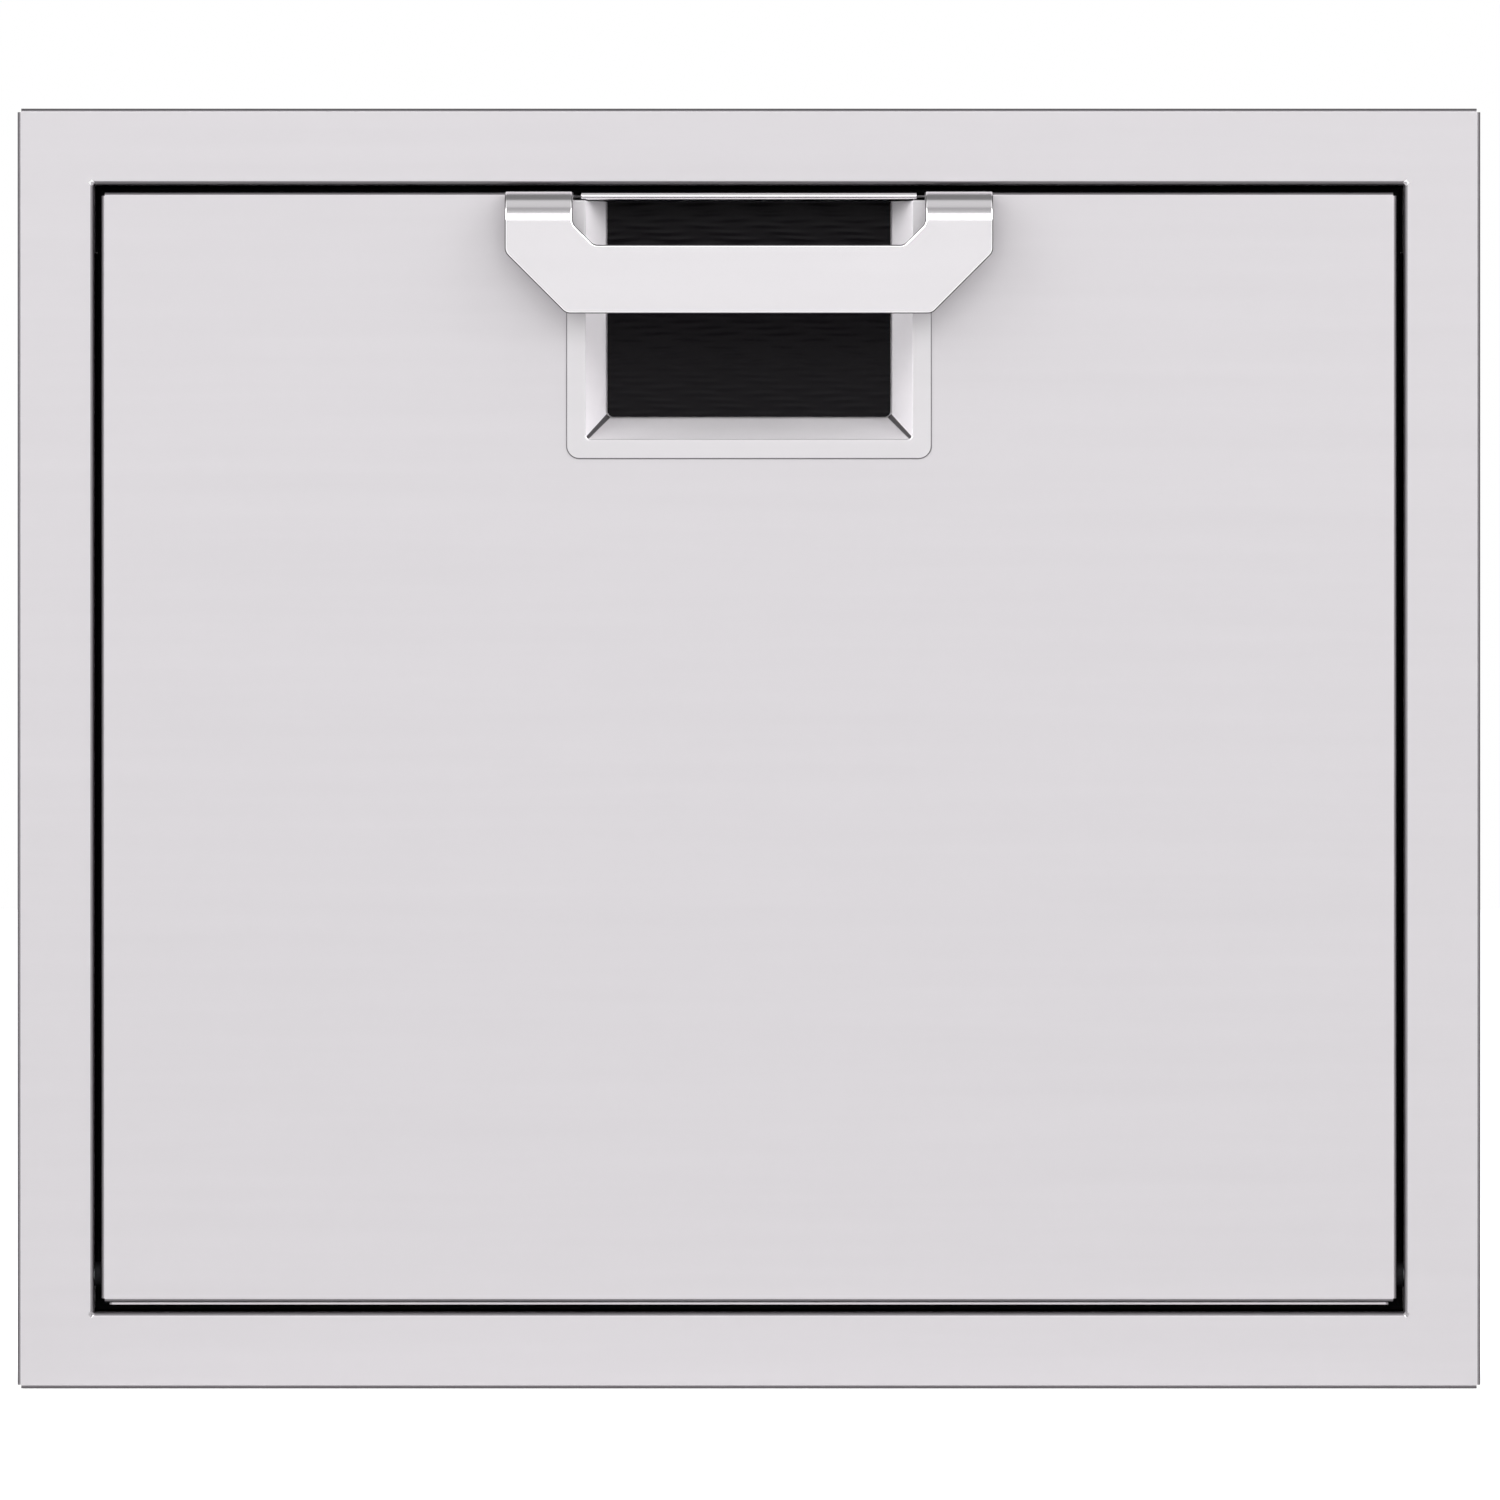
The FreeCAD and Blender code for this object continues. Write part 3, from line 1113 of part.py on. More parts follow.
def stay_arm(side_name, side):
    """A flat arm with round ends, from its pivot on the door to its glide."""
    body = new_body(f"stay_arm_{side_name}")
    half, full_round = "stay_half_wide", "stay_half_wide - flat_left"
    corners = [
        (f"0 - {half}", f"0 - {half}", full_round),
        (half, f"0 - {half}", full_round),
        (half, f"stay_long + {half}", full_round),
        (f"0 - {half}", f"stay_long + {half}", full_round),
    ]
    holes = [("0", "0", "stay_pin_radius + run_play"),
             ("0", "stay_long", "glide_pin_radius + run_play")]
    add(body, "plate", "YZ", *sided(side, STAY_IN, STAY_OUT), [corners], holes)
    pivot_y, pivot_z = stay_pivot(0)
    bind(body, "Placement.Base.y", pivot_y)
    bind(body, "Placement.Base.z", pivot_z)
    body.Placement.Rotation = FreeCAD.Rotation(FreeCAD.Vector(1, 0, 0), 0)
    bind(body, "Placement.Rotation.Angle", "0 - stay_lean")
    single(body)


def stay_glide(side_name, side):
    """The glide at the arm's end: its pin, the roller in the track and a collar."""
    outer = f"({TRACK_OUT} + glide_side_play)"
    steps = [
        ("glide_pin_radius", STAY_IN, STAY_OUT),
        ("glide_radius", STAY_OUT, outer),
        ("glide_collar_radius", outer, f"{outer} + glide_collar_thick"),
    ]
    body = turned(f"stay_glide_{side_name}", "X", side_steps(side, steps),
                  ("0", *GLIDE_SHUT))
    single(body)


frame_bezel()
door_stops()
seals()
magnetic_catches()
hinge_fixed_parts()
for side_name, side in SIDES.items():
    stay_track(side_name, side)
door_skin()
door_liner()
door_stiffeners()
strike_plates()
hinge_door_parts()
handle()
handle_fixings()
hand_pocket()
pocket_rail()
stay_brackets()
for side_name, side in SIDES.items():
    stay_arm(side_name, side)
    stay_glide(side_name, side)
doc.recompute()

CUTS = ("PartDesign::Pocket", "PartDesign::SubtractiveLoft")
faults = [f"{item.Name}: {item.State}" for item in doc.Objects
          if "Invalid" in item.State or "Error" in item.State]
for item in doc.Objects:
    if item.TypeId in CUTS and not faults:
        before = item.BaseFeature.Shape.Volume
        if item.Shape.Volume > before - LEAST_CUT:
            faults.append(f"{item.Name} cuts nothing")
for name, item in nodes.items():
    if item.Shape.isNull() or not item.Shape.isValid() or not item.Shape.Solids:
        faults.append(f"{name} has no valid shape")
if faults:
    raise RuntimeError("; ".join(faults))

os.makedirs("parts", exist_ok=True)
for name, item in nodes.items():
    item.Shape.exportStep(f"parts/{name}.step")
print(f"{len(nodes)} nodes written")
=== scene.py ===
"""Looks of a drop-down access door for a built-in outdoor kitchen, in metres."""
import json
import logging
import math
from collections.abc import Callable, Iterable
from dataclasses import dataclass, field
from enum import Enum
from functools import lru_cache
from typing import ClassVar, Self

import bmesh
import bpy
from bmesh.types import BMEdge, BMesh, BMFace, BMVert
from bpy.types import MeshPolygon, Node, NodeTree, Object
from mathutils import Matrix, Vector

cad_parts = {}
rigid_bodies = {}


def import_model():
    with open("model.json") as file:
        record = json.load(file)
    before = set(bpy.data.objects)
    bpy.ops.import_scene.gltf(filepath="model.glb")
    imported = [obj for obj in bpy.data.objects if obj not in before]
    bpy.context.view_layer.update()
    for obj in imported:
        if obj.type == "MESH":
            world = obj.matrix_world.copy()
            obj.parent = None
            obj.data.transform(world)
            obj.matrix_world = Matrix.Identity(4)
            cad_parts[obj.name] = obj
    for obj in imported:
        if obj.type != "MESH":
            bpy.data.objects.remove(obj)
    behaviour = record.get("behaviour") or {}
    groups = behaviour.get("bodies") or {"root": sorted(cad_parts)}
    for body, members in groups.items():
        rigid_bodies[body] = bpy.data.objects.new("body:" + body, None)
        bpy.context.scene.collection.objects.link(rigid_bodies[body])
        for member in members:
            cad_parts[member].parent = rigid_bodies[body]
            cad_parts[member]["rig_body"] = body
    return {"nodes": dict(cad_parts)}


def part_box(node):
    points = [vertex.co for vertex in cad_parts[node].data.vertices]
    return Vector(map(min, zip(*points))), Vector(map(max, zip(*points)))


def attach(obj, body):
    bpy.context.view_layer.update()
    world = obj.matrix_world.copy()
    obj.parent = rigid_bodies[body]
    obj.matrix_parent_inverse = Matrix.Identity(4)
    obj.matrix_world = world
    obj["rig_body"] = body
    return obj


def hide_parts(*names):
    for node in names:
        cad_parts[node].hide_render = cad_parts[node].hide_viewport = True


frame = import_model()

MM = 0.001
# Places closer than this are taken as the same
NEAR = 0.02 * MM
# How far a cutting shape reaches past what it cuts
OVER = 1 * MM
# Length of the bar that drills through a side sheet
DRILL_LONG = 6 * MM
# Width of an edge that was only deburred
DEBURRED = 0.15 * MM
# How many sides stand for a full round
ROUND = 32
# Away from whoever stands in front of the door
BACK = Vector((0, 1, 0))
log = logging.getLogger("access_door")


class Side(Enum):
    """The two sides of the door, as seen from the front."""

    LEFT = -1
    RIGHT = 1


class Grain(Enum):
    """Which way the brush went over the steel."""

    ALONG_X = 0
    ALONG_Z = 2


def linear(hex_colour: str) -> tuple[float, float, float, float]:
    """Turns an sRGB hex colour to the linear values that a shader reads.

    Args:
        hex_colour: six hex digits after a hash.

    Returns:
        Red, green, blue and a full alpha.
    """
    channels = [int(hex_colour[i:i + 2], 16) / 255 for i in (1, 3, 5)]
    red, green, blue = (c / 12.92 if c <= 0.04045 else ((c + 0.055) / 1.055) ** 2.4
                        for c in channels)
    return red, green, blue, 1.0


def add_node(tree: NodeTree, kind: str, settings: dict | None = None,
             links: dict | None = None) -> Node:
    """Adds a node with its settings and links.

    Args:
        tree: the node tree that gets the node.
        kind: the node's class name, after its "ShaderNode".
        settings: its properties by name, or its inputs by name or number.
        links: outputs of other nodes, by the name or number of the input they feed.

    Returns:
        The new node.
    """
    node = tree.nodes.new(f"ShaderNode{kind}")
    for name, value in (settings or {}).items():
        if isinstance(name, str) and hasattr(node, name):
            setattr(node, name, value)
        else:
            node.inputs[name].default_value = value
    for name, socket in (links or {}).items():
        tree.links.new(socket, node.inputs[name])
    return node


@dataclass(frozen=True)
class Finish:
    """What every finish has: its common name, its colours and how it takes light."""

    name: str
    colour: str  # main colour, sRGB hex
    shade: str  # colour that it drifts to, sRGB hex
    metallic: float  # 1 for bare metal, 0 for plastic and rubber
    roughness: float  # mean roughness
    spread: float  # how far the roughness drifts each way
    specular: float = 0.5  # specular level of a non-metal
    deep_mm: float = 0.0  # how deep the fine pattern is

    def scales(self) -> tuple[Vector, Vector]:
        """Returns how often the fine and the broad pattern repeat, per metre."""
        raise NotImplementedError

    def dress(self, tree: NodeTree, shader: Node) -> None:
        """Lays a fine pattern over the relief and roughness, and a broad one over the colour.

        Args:
            tree: the material's node tree.
            shader: its Principled shader.
        """
        here = add_node(tree, "TexCoord").outputs["Object"]
        patterns = []
        for scale in self.scales():
            spot = add_node(tree, "Mapping", {"Scale": scale}, {"Vector": here})
            patterns.append(add_node(tree, "TexNoise", {"Scale": 1.0, "Detail": 3.0},
                                     {"Vector": spot.outputs[0]}).outputs["Fac"])
        fine, broad = patterns
        mix = add_node(tree, "Mix", {"data_type": "RGBA", 6: linear(self.colour),
                                     7: linear(self.shade)}, {0: broad})
        rough = add_node(tree, "MapRange", {"To Min": self.roughness - self.spread,
                                            "To Max": self.roughness + self.spread},
                         {"Value": fine})
        bump = add_node(tree, "Bump", {"Distance": self.deep_mm * MM}, {"Height": fine})
        tree.links.new(mix.outputs[2], shader.inputs["Base Color"])
        tree.links.new(rough.outputs[0], shader.inputs["Roughness"])
        tree.links.new(bump.outputs[0], shader.inputs["Normal"])


@dataclass(frozen=True)
class BrushedSteel(Finish):
    """Metal drawn over an abrasive belt, so fine lines run one way."""

    deep_mm: float = 0.0006
    grain: Grain = Grain.ALONG_X  # which way the lines run
    line_mm: float = 0.5  # their spacing
    run_mm: float = 45.0  # how long a line runs
    mark_wide: float = 16  # how many times wider than a line a belt mark is
    mark_long: float = 4  # how many times longer

    def scales(self) -> tuple[Vector, Vector]:
        """Works out the repeats of the lines and of the broader belt marks.

        Returns:
            Both, per metre.
        """
        fine = Vector((1 / (self.line_mm * MM),) * 3)
        broad = Vector((1 / (self.line_mm * self.mark_wide * MM),) * 3)
        fine[self.grain.value] = 1 / (self.run_mm * MM)
        broad[self.grain.value] = 1 / (self.run_mm * self.mark_long * MM)
        return fine, broad


@dataclass(frozen=True)
class Moulded(Finish):
    """Plastic, rubber, paint or blasted steel, whose skin has an even fine grit."""

    deep_mm: float = 0.02
    grit_mm: float = 0.6  # spacing of the grit
    flow_wide: float = 30  # how many times wider than the grit a flow mark is

    def scales(self) -> tuple[Vector, Vector]:
        """Returns the repeats of the grit and of the broader flow marks."""
        return (Vector((1 / (self.grit_mm * MM),) * 3),
                Vector((1 / (self.grit_mm * self.flow_wide * MM),) * 3))


@lru_cache(maxsize=None)
def material_of(finish: Finish) -> bpy.types.Material:
    """Makes a finish's material, once.

    Args:
        finish: the finish.

    Returns:
        Its material.
    """
    material = bpy.data.materials.new(finish.name)
    material.use_nodes = True
    tree = material.node_tree
    shader = tree.nodes["Principled BSDF"]
    shader.inputs["Metallic"].default_value = finish.metallic
    shader.inputs["Specular IOR Level"].default_value = finish.specular
    finish.dress(tree, shader)
    return material


# Satin 304 sheet: even pale grey whose lines only show close by
SATIN = BrushedSteel("satin_stainless", "#c5c2c5", "#c1bec1", 1.0, 0.38, 0.03)
# The same sheet where it turns along the sides, brushed along its length
SATIN_SIDE = BrushedSteel("satin_stainless_sides", "#c5c2c5", "#c1bec1", 1.0, 0.38, 0.03,
                          grain=Grain.ALONG_Z)
# Satin sheet with painted shade on the outside of its bends: dark lines round frame and door
BEND_SHADE = BrushedSteel("painted_shade_bend_stainless", "#7f7c7f", "#787578", 1.0, 0.45, 0.04)
# Mill-finish sheet of the liner, never brushed: dull, so it doesn't glare when the door is down
MILL = BrushedSteel("mill_finish_stainless", "#c5c2c5", "#bdbabd", 1.0, 0.60, 0.05)
# Bright-polished plate: the bends show crisp bands of light
BRIGHT = BrushedSteel("bright_stainless", "#e7e4e7", "#e2dfe2", 1.0, 0.17, 0.02, deep_mm=0.0002)
# Painted shade on the eased edges of that plate: dull and darker, they outline the handle
EDGE_SHADE = BrushedSteel("painted_shade_handle_edge", "#555255", "#4e4b4e", 1.0, 0.45, 0.05)
# Painted highlight on the arris between those edges and the faces: a thin white line inside the
# dark one
EDGE_HIGHLIGHT = BrushedSteel("painted_highlight_handle_arris", "#fffeff", "#fdfbfd", 1.0, 0.12, 0.02,
                     deep_mm=0.0001)
# Buffed flange of the pocket: softer than the handle, brighter than the door
BUFFED = BrushedSteel("buffed_stainless", "#d1ced1", "#cccacc", 1.0, 0.30, 0.03, deep_mm=0.0003)
# Bead-blasted walls of the pocket: they take light from all round, so they stay pale
BLASTED = Moulded("bead_blasted_stainless", "#fcfafc", "#f7f5f7", 1.0, 0.95, 0.04, grit_mm=0.5,
                  deep_mm=0.003)
# The same, darker on the pocket's bottom wall: painted shade
FOOT_WALL_SHADE = Moulded("painted_shade_blasted_stainless", "#dfdddf", "#dad8da", 1.0, 0.90, 0.04, grit_mm=0.5,
                 deep_mm=0.003)
# Painted shade in the corners between the pocket's walls: a darker line
CORNER_SHADE = BrushedSteel("painted_shade_pocket_corner", "#7a777a", "#727072", 1.0, 0.62, 0.04)
# Black on the stops inside the sleeve: painted shade that keeps the gap round the door black
STOP_SHADE = Moulded("painted_shade_black_steel", "#0c0c0d", "#111112", 0.0, 0.60, 0.05, specular=0.1,
                  deep_mm=0.004)
# Matt black moulded grip: swallows light, with a little sheen on its ribs
GRIP = Moulded("black_moulded_grip", "#080609", "#0b090c", 0.0, 0.36, 0.05, specular=0.09)
# EPDM weather seal: dull black
RUBBER = Moulded("black_epdm_rubber", "#121213", "#171718", 0.0, 0.72, 0.06, specular=0.2)
# Acetal: dull black, darkened further as painted shade, so the bushes in the gap round the door
# stay dark
ACETAL_SHADE = Moulded("black_acetal", "#08080a", "#0c0c0e", 0.0, 0.60, 0.04, specular=0.1,
                 deep_mm=0.004)
# Nylon: waxy off-white
NYLON = Moulded("white_nylon", "#e7e4da", "#dedbd0", 0.0, 0.42, 0.05, deep_mm=0.006)
# Bright zinc plate: slightly blue, with a fine turned grain
ZINC = BrushedSteel("bright_zinc_plate", "#c6c9cc", "#b4b7bb", 1.0, 0.26, 0.05, line_mm=0.3,
                    run_mm=3.0, deep_mm=0.001)
# Sintered ferrite: dark and grainy
FERRITE = Moulded("sintered_ferrite", "#39393c", "#2f2f32", 0.2, 0.66, 0.08, grit_mm=0.35)


def made_of(kind: type, geometry: Iterable) -> list:
    """Returns those vertices, edges or faces that an operator made."""
    return [item for item in geometry if isinstance(item, kind)]


def middle_of(name: str) -> Vector:
    """Returns the middle of a node's box."""
    low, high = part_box(name)
    return (low + high) / 2


def block(low: Iterable[float], high: Iterable[float]) -> BMesh:
    """A plain block between two corners, to start a shape from.

    Args:
        low: lowest corner.
        high: highest corner.

    Returns:
        The block.
    """
    low, high = Vector(low), Vector(high)
    shape = bmesh.new()
    bmesh.ops.create_cube(shape, size=1.0)
    bmesh.ops.scale(shape, vec=high - low, verts=shape.verts)
    bmesh.ops.translate(shape, vec=(low + high) / 2, verts=shape.verts)
    return shape


def pan(low: Iterable[float], high: Iterable[float]) -> BMesh:
    """A block without its rear face: a sheet with four returns, before its bends are round.

    Args:
        low: lowest corner.
        high: highest corner.

    Returns:
        The open pan.
    """
    shape = block(low, high)
    rear = [face for face in shape.faces if face.normal.y > 0.5]
    bmesh.ops.delete(shape, geom=rear, context="FACES_ONLY")
    return shape


def corner_blocks(low: Vector, high: Vector, notch: float) -> list[BMesh]:
    """Blocks that open the four corners between a sheet's returns.

    Args:
        low: lowest corner of the returns.
        high: highest corner of the returns.
        notch: width and height of an open corner.

    Returns:
        The four blocks.
    """
    spans = [((least - OVER, least + notch), (most - notch, most + OVER))
             for least, most in ((low.x, high.x), (low.z, high.z))]
    return [block((x[0], low.y - OVER, z[0]), (x[1], high.y + OVER, z[1]))
            for x in spans[0] for z in spans[1]]


def prism(corners: list[tuple[float, ...]], front: float, back: float) -> BMesh:
    """A flat outline carried from one depth to another.

    Args:
        corners: (x, z) or (x, z, radius) of each corner, in order.
        front: depth of its front face.
        back: depth of its rear face.

    Returns:
        The closed prism.
    """
    shape = bmesh.new()
    verts = [shape.verts.new((corner[0], front, corner[1])) for corner in corners]
    shape.faces.new(verts)
    spots = [vert.co.copy() for vert in verts]
    for i, corner in enumerate(corners):
        if len(corner) < 3:
            continue
        half = (spots[i - 1] - spots[i]).angle(spots[(i + 1) % len(spots)] - spots[i]) / 2
        bmesh.ops.bevel(shape, geom=[verts[i]], offset=corner[2] / math.tan(half),
                        affect="VERTICES", segments=8, profile=0.5, material=-1)
    moved = bmesh.ops.extrude_face_region(shape, geom=shape.faces[:], use_keep_orig=True)["geom"]
    bmesh.ops.translate(shape, vec=(0, back - front, 0), verts=made_of(BMVert, moved))
    bmesh.ops.recalc_face_normals(shape, faces=shape.faces)
    return shape


def drill(centre: Iterable[float], radius: float) -> BMesh:
    """A round bar along X, to drill a side sheet with.

    Args:
        centre: its centre.
        radius: its radius.

    Returns:
        The closed bar.
    """
    turn = Matrix.Rotation(math.pi / 2, 4, "Y")
    shape = bmesh.new()
    bmesh.ops.create_cone(shape, cap_ends=True, segments=ROUND, radius1=radius, radius2=radius,
                          depth=DRILL_LONG, matrix=Matrix.Translation(Vector(centre)) @ turn)
    return shape


def merged(shapes: Iterable[BMesh]) -> BMesh:
    """Several shapes as one.

    Args:
        shapes: the shapes, which are used up.

    Returns:
        One shape that holds them all.
    """
    whole, store = bmesh.new(), bpy.data.meshes.new("store")
    for shape in shapes:
        shape.to_mesh(store)
        shape.free()
        whole.from_mesh(store)
    bpy.data.meshes.remove(store)
    return whole


def rim_edges(shape: BMesh, depth: float, low: Vector, high: Vector) -> list[BMEdge]:
    """The four edges of a rectangle at one depth.

    Args:
        shape: the shape that has them.
        depth: their place along Y.
        low: corner whose x and z are the rectangle's lowest.
        high: corner whose x and z are its highest.

    Returns:
        The edges.
    """
    sides = [(0, low.x), (0, high.x), (2, low.z), (2, high.z)]
    level = [edge for edge in shape.edges
             if all(abs(vert.co.y - depth) < NEAR for vert in edge.verts)]
    return [edge for edge in level
            if any(all(abs(vert.co[axis] - at) < NEAR for vert in edge.verts)
                   for axis, at in sides)]


def round_off(shape: BMesh, edges: list[BMEdge], radius: float, segments: int = 8) -> None:
    """Rounds edges of a shape to a radius, in so many steps, as a bend or fillet does."""
    bmesh.ops.bevel(shape, geom=edges, offset=radius, affect="EDGES", segments=segments,
                    profile=0.5, material=-1, clamp_overlap=False)


@dataclass
class SweptSheet:
    """A sheet swept from one edge along X through runs and bends."""

    start: Vector  # middle of the first edge
    width: float  # length of that edge

    def __post_init__(self) -> None:
        """Lays the first edge."""
        self.shape = bmesh.new()
        ends = [self.shape.verts.new(self.start + Vector((side.value * self.width / 2, 0, 0)))
                for side in Side]
        self.edges = [self.shape.edges.new(ends)]

    def run(self, way: Iterable[float]) -> Self:
        """Carries the sheet straight on.

        Args:
            way: how far it goes.

        Returns:
            The sheet.
        """
        made = bmesh.ops.extrude_edge_only(self.shape, edges=self.edges)["geom"]
        verts = made_of(BMVert, made)
        bmesh.ops.translate(self.shape, vec=Vector(way), verts=verts)
        self.edges = [edge for edge in made_of(BMEdge, made) if set(edge.verts) <= set(verts)]
        return self

    def bend(self, centre: Vector, angle: float, steps: int) -> Self:
        """Bends the sheet about an axis along X.

        Args:
            centre: a point on the axis.
            angle: how far it turns, in radians.
            steps: how many steps the bend has.

        Returns:
            The sheet.
        """
        geometry = self.edges + [vert for edge in self.edges for vert in edge.verts]
        made = bmesh.ops.spin(self.shape, geom=geometry, cent=centre, axis=(1, 0, 0),
                              angle=angle, steps=steps, use_duplicate=False)["geom_last"]
        self.edges = made_of(BMEdge, made)
        return self

    def done(self) -> BMesh:
        """Returns the open sheet, with its faces turned outwards."""
        bmesh.ops.reverse_faces(self.shape, faces=self.shape.faces)
        return self.shape


def linked(shape: BMesh, name: str) -> Object:
    """Turns a shape into an object at the origin.

    Args:
        shape: the shape, which is used up.
        name: the object's name.

    Returns:
        The object.
    """
    mesh = bpy.data.meshes.new(name)
    shape.to_mesh(mesh)
    shape.free()
    piece = bpy.data.objects.new(name, mesh)
    bpy.context.scene.collection.objects.link(piece)
    return piece


def settle(piece: Object) -> None:
    """Makes a piece's modifiers part of its mesh.

    Args:
        piece: the piece.
    """
    graph = bpy.context.evaluated_depsgraph_get()
    mesh, before = bpy.data.meshes.new_from_object(piece.evaluated_get(graph)), piece.data
    piece.modifiers.clear()
    piece.data = mesh
    bpy.data.meshes.remove(before)


def thicken(piece: Object, gauge: float) -> None:
    """Gives a sheet its gauge, behind its faces.

    Args:
        piece: an open sheet whose faces look outwards.
        gauge: its thickness.
    """
    wall = piece.modifiers.new("gauge", "SOLIDIFY")
    wall.thickness, wall.offset, wall.use_even_offset = gauge, -1.0, True
    settle(piece)


def carve(piece: Object, tool: BMesh, kept: str = "DIFFERENCE", crossing: bool = False) -> None:
    """Cuts a closed shape out of a piece, or keeps only what they share.

    Args:
        piece: the piece.
        tool: the cutting shape, which is used up.
        kept: "DIFFERENCE" or "INTERSECT".
        crossing: whether parts of the cutting shape reach into each other.
    """
    cutter = linked(tool, "cutter")
    cut = piece.modifiers.new("cut", "BOOLEAN")
    cut.object, cut.operation, cut.solver = cutter, kept, "EXACT"
    cut.use_self = crossing
    settle(piece)
    mesh = cutter.data
    bpy.data.objects.remove(cutter)
    bpy.data.meshes.remove(mesh)


def shade(piece: Object, crease: float) -> None:
    """Shades a piece smooth, but for edges that turn by more than the crease, in degrees."""
    piece.data.shade_smooth()
    piece.data.set_sharp_from_angle(angle=math.radians(crease))


def soften(piece: Object, width: float = DEBURRED, segments: int = 2, held: bool = True) -> None:
    """Breaks the sharp edges and evens the shading of the flats beside them.

    Args:
        piece: the piece.
        width: how wide the broken edge is.
        segments: how many steps it has.
        held: whether the shortest edges hold the width down.
    """
    piece.data.shade_smooth()
    edge = piece.modifiers.new("edge", "BEVEL")
    edge.width, edge.segments, edge.limit_method = width, segments, "ANGLE"
    edge.angle_limit, edge.use_clamp_overlap = math.radians(40), held
    flats = piece.modifiers.new("flats", "WEIGHTED_NORMAL")
    flats.weight, flats.keep_sharp = 100, True
    settle(piece)


def sideways(polygon: MeshPolygon) -> int:
    """Returns 1 for a face that looks left or right, else 0."""
    return int(abs(polygon.normal.x) > 0.8)


def bent(polygon: MeshPolygon) -> int:
    """Returns 2 for a face outside a bend or on a broken edge, which gets painted shade, else
    what sideways says.
    """
    return 2 if -0.98 < polygon.normal.y < -0.15 else sideways(polygon)


def place(piece: Object, body: str, finishes: list[Finish],
          stands_for: Iterable[str] = (),
          pick: Callable[[MeshPolygon], int] = sideways) -> None:
    """Hands a finished piece its materials and its body.

    Args:
        piece: the piece.
        body: the body that carries it.
        finishes: its finishes.
        stands_for: nodes that it replaces.
        pick: gives each face the number of its finish, where there are several.
    """
    piece.data.materials.clear()
    for finish in finishes:
        piece.data.materials.append(material_of(finish))
    for polygon in piece.data.polygons:
        polygon.material_index = pick(polygon) if len(finishes) > 1 else 0
    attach(piece, body)
    if stands_for:
        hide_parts(*stands_for)
    log.info("%s: %d faces on %s", piece.name, len(piece.data.polygons), body)


@dataclass
class Fitted:
    """A sub-assembly that fits the box of a node."""

    node: ClassVar[str]
    low: Vector = field(init=False)  # lowest corner of the box
    high: Vector = field(init=False)  # highest corner of the box

    def __post_init__(self) -> None:
        """Reads the node's corners."""
        self.low, self.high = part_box(self.node)

    def foot_rounded(self, radius: float) -> BMesh:
        """Makes the shape that a pressed piece is trimmed to: round only at its foot.

        Args:
            radius: rounding of the lower corners.

        Returns:
            The trimming shape.
        """
        low, high = self.low, self.high
        corners = [(low.x, low.z, radius), (high.x, low.z, radius), (high.x, high.z),
                   (low.x, high.z)]
        return prism(corners, low.y - OVER, high.y + OVER)

    def keep_inside(self, piece: Object) -> None:
        """Holds a softened piece inside the box, where an edge's round reached over it."""
        for vert in piece.data.vertices:
            vert.co = [min(max(at, least), most)
                       for at, least, most in zip(vert.co, self.low, self.high)]


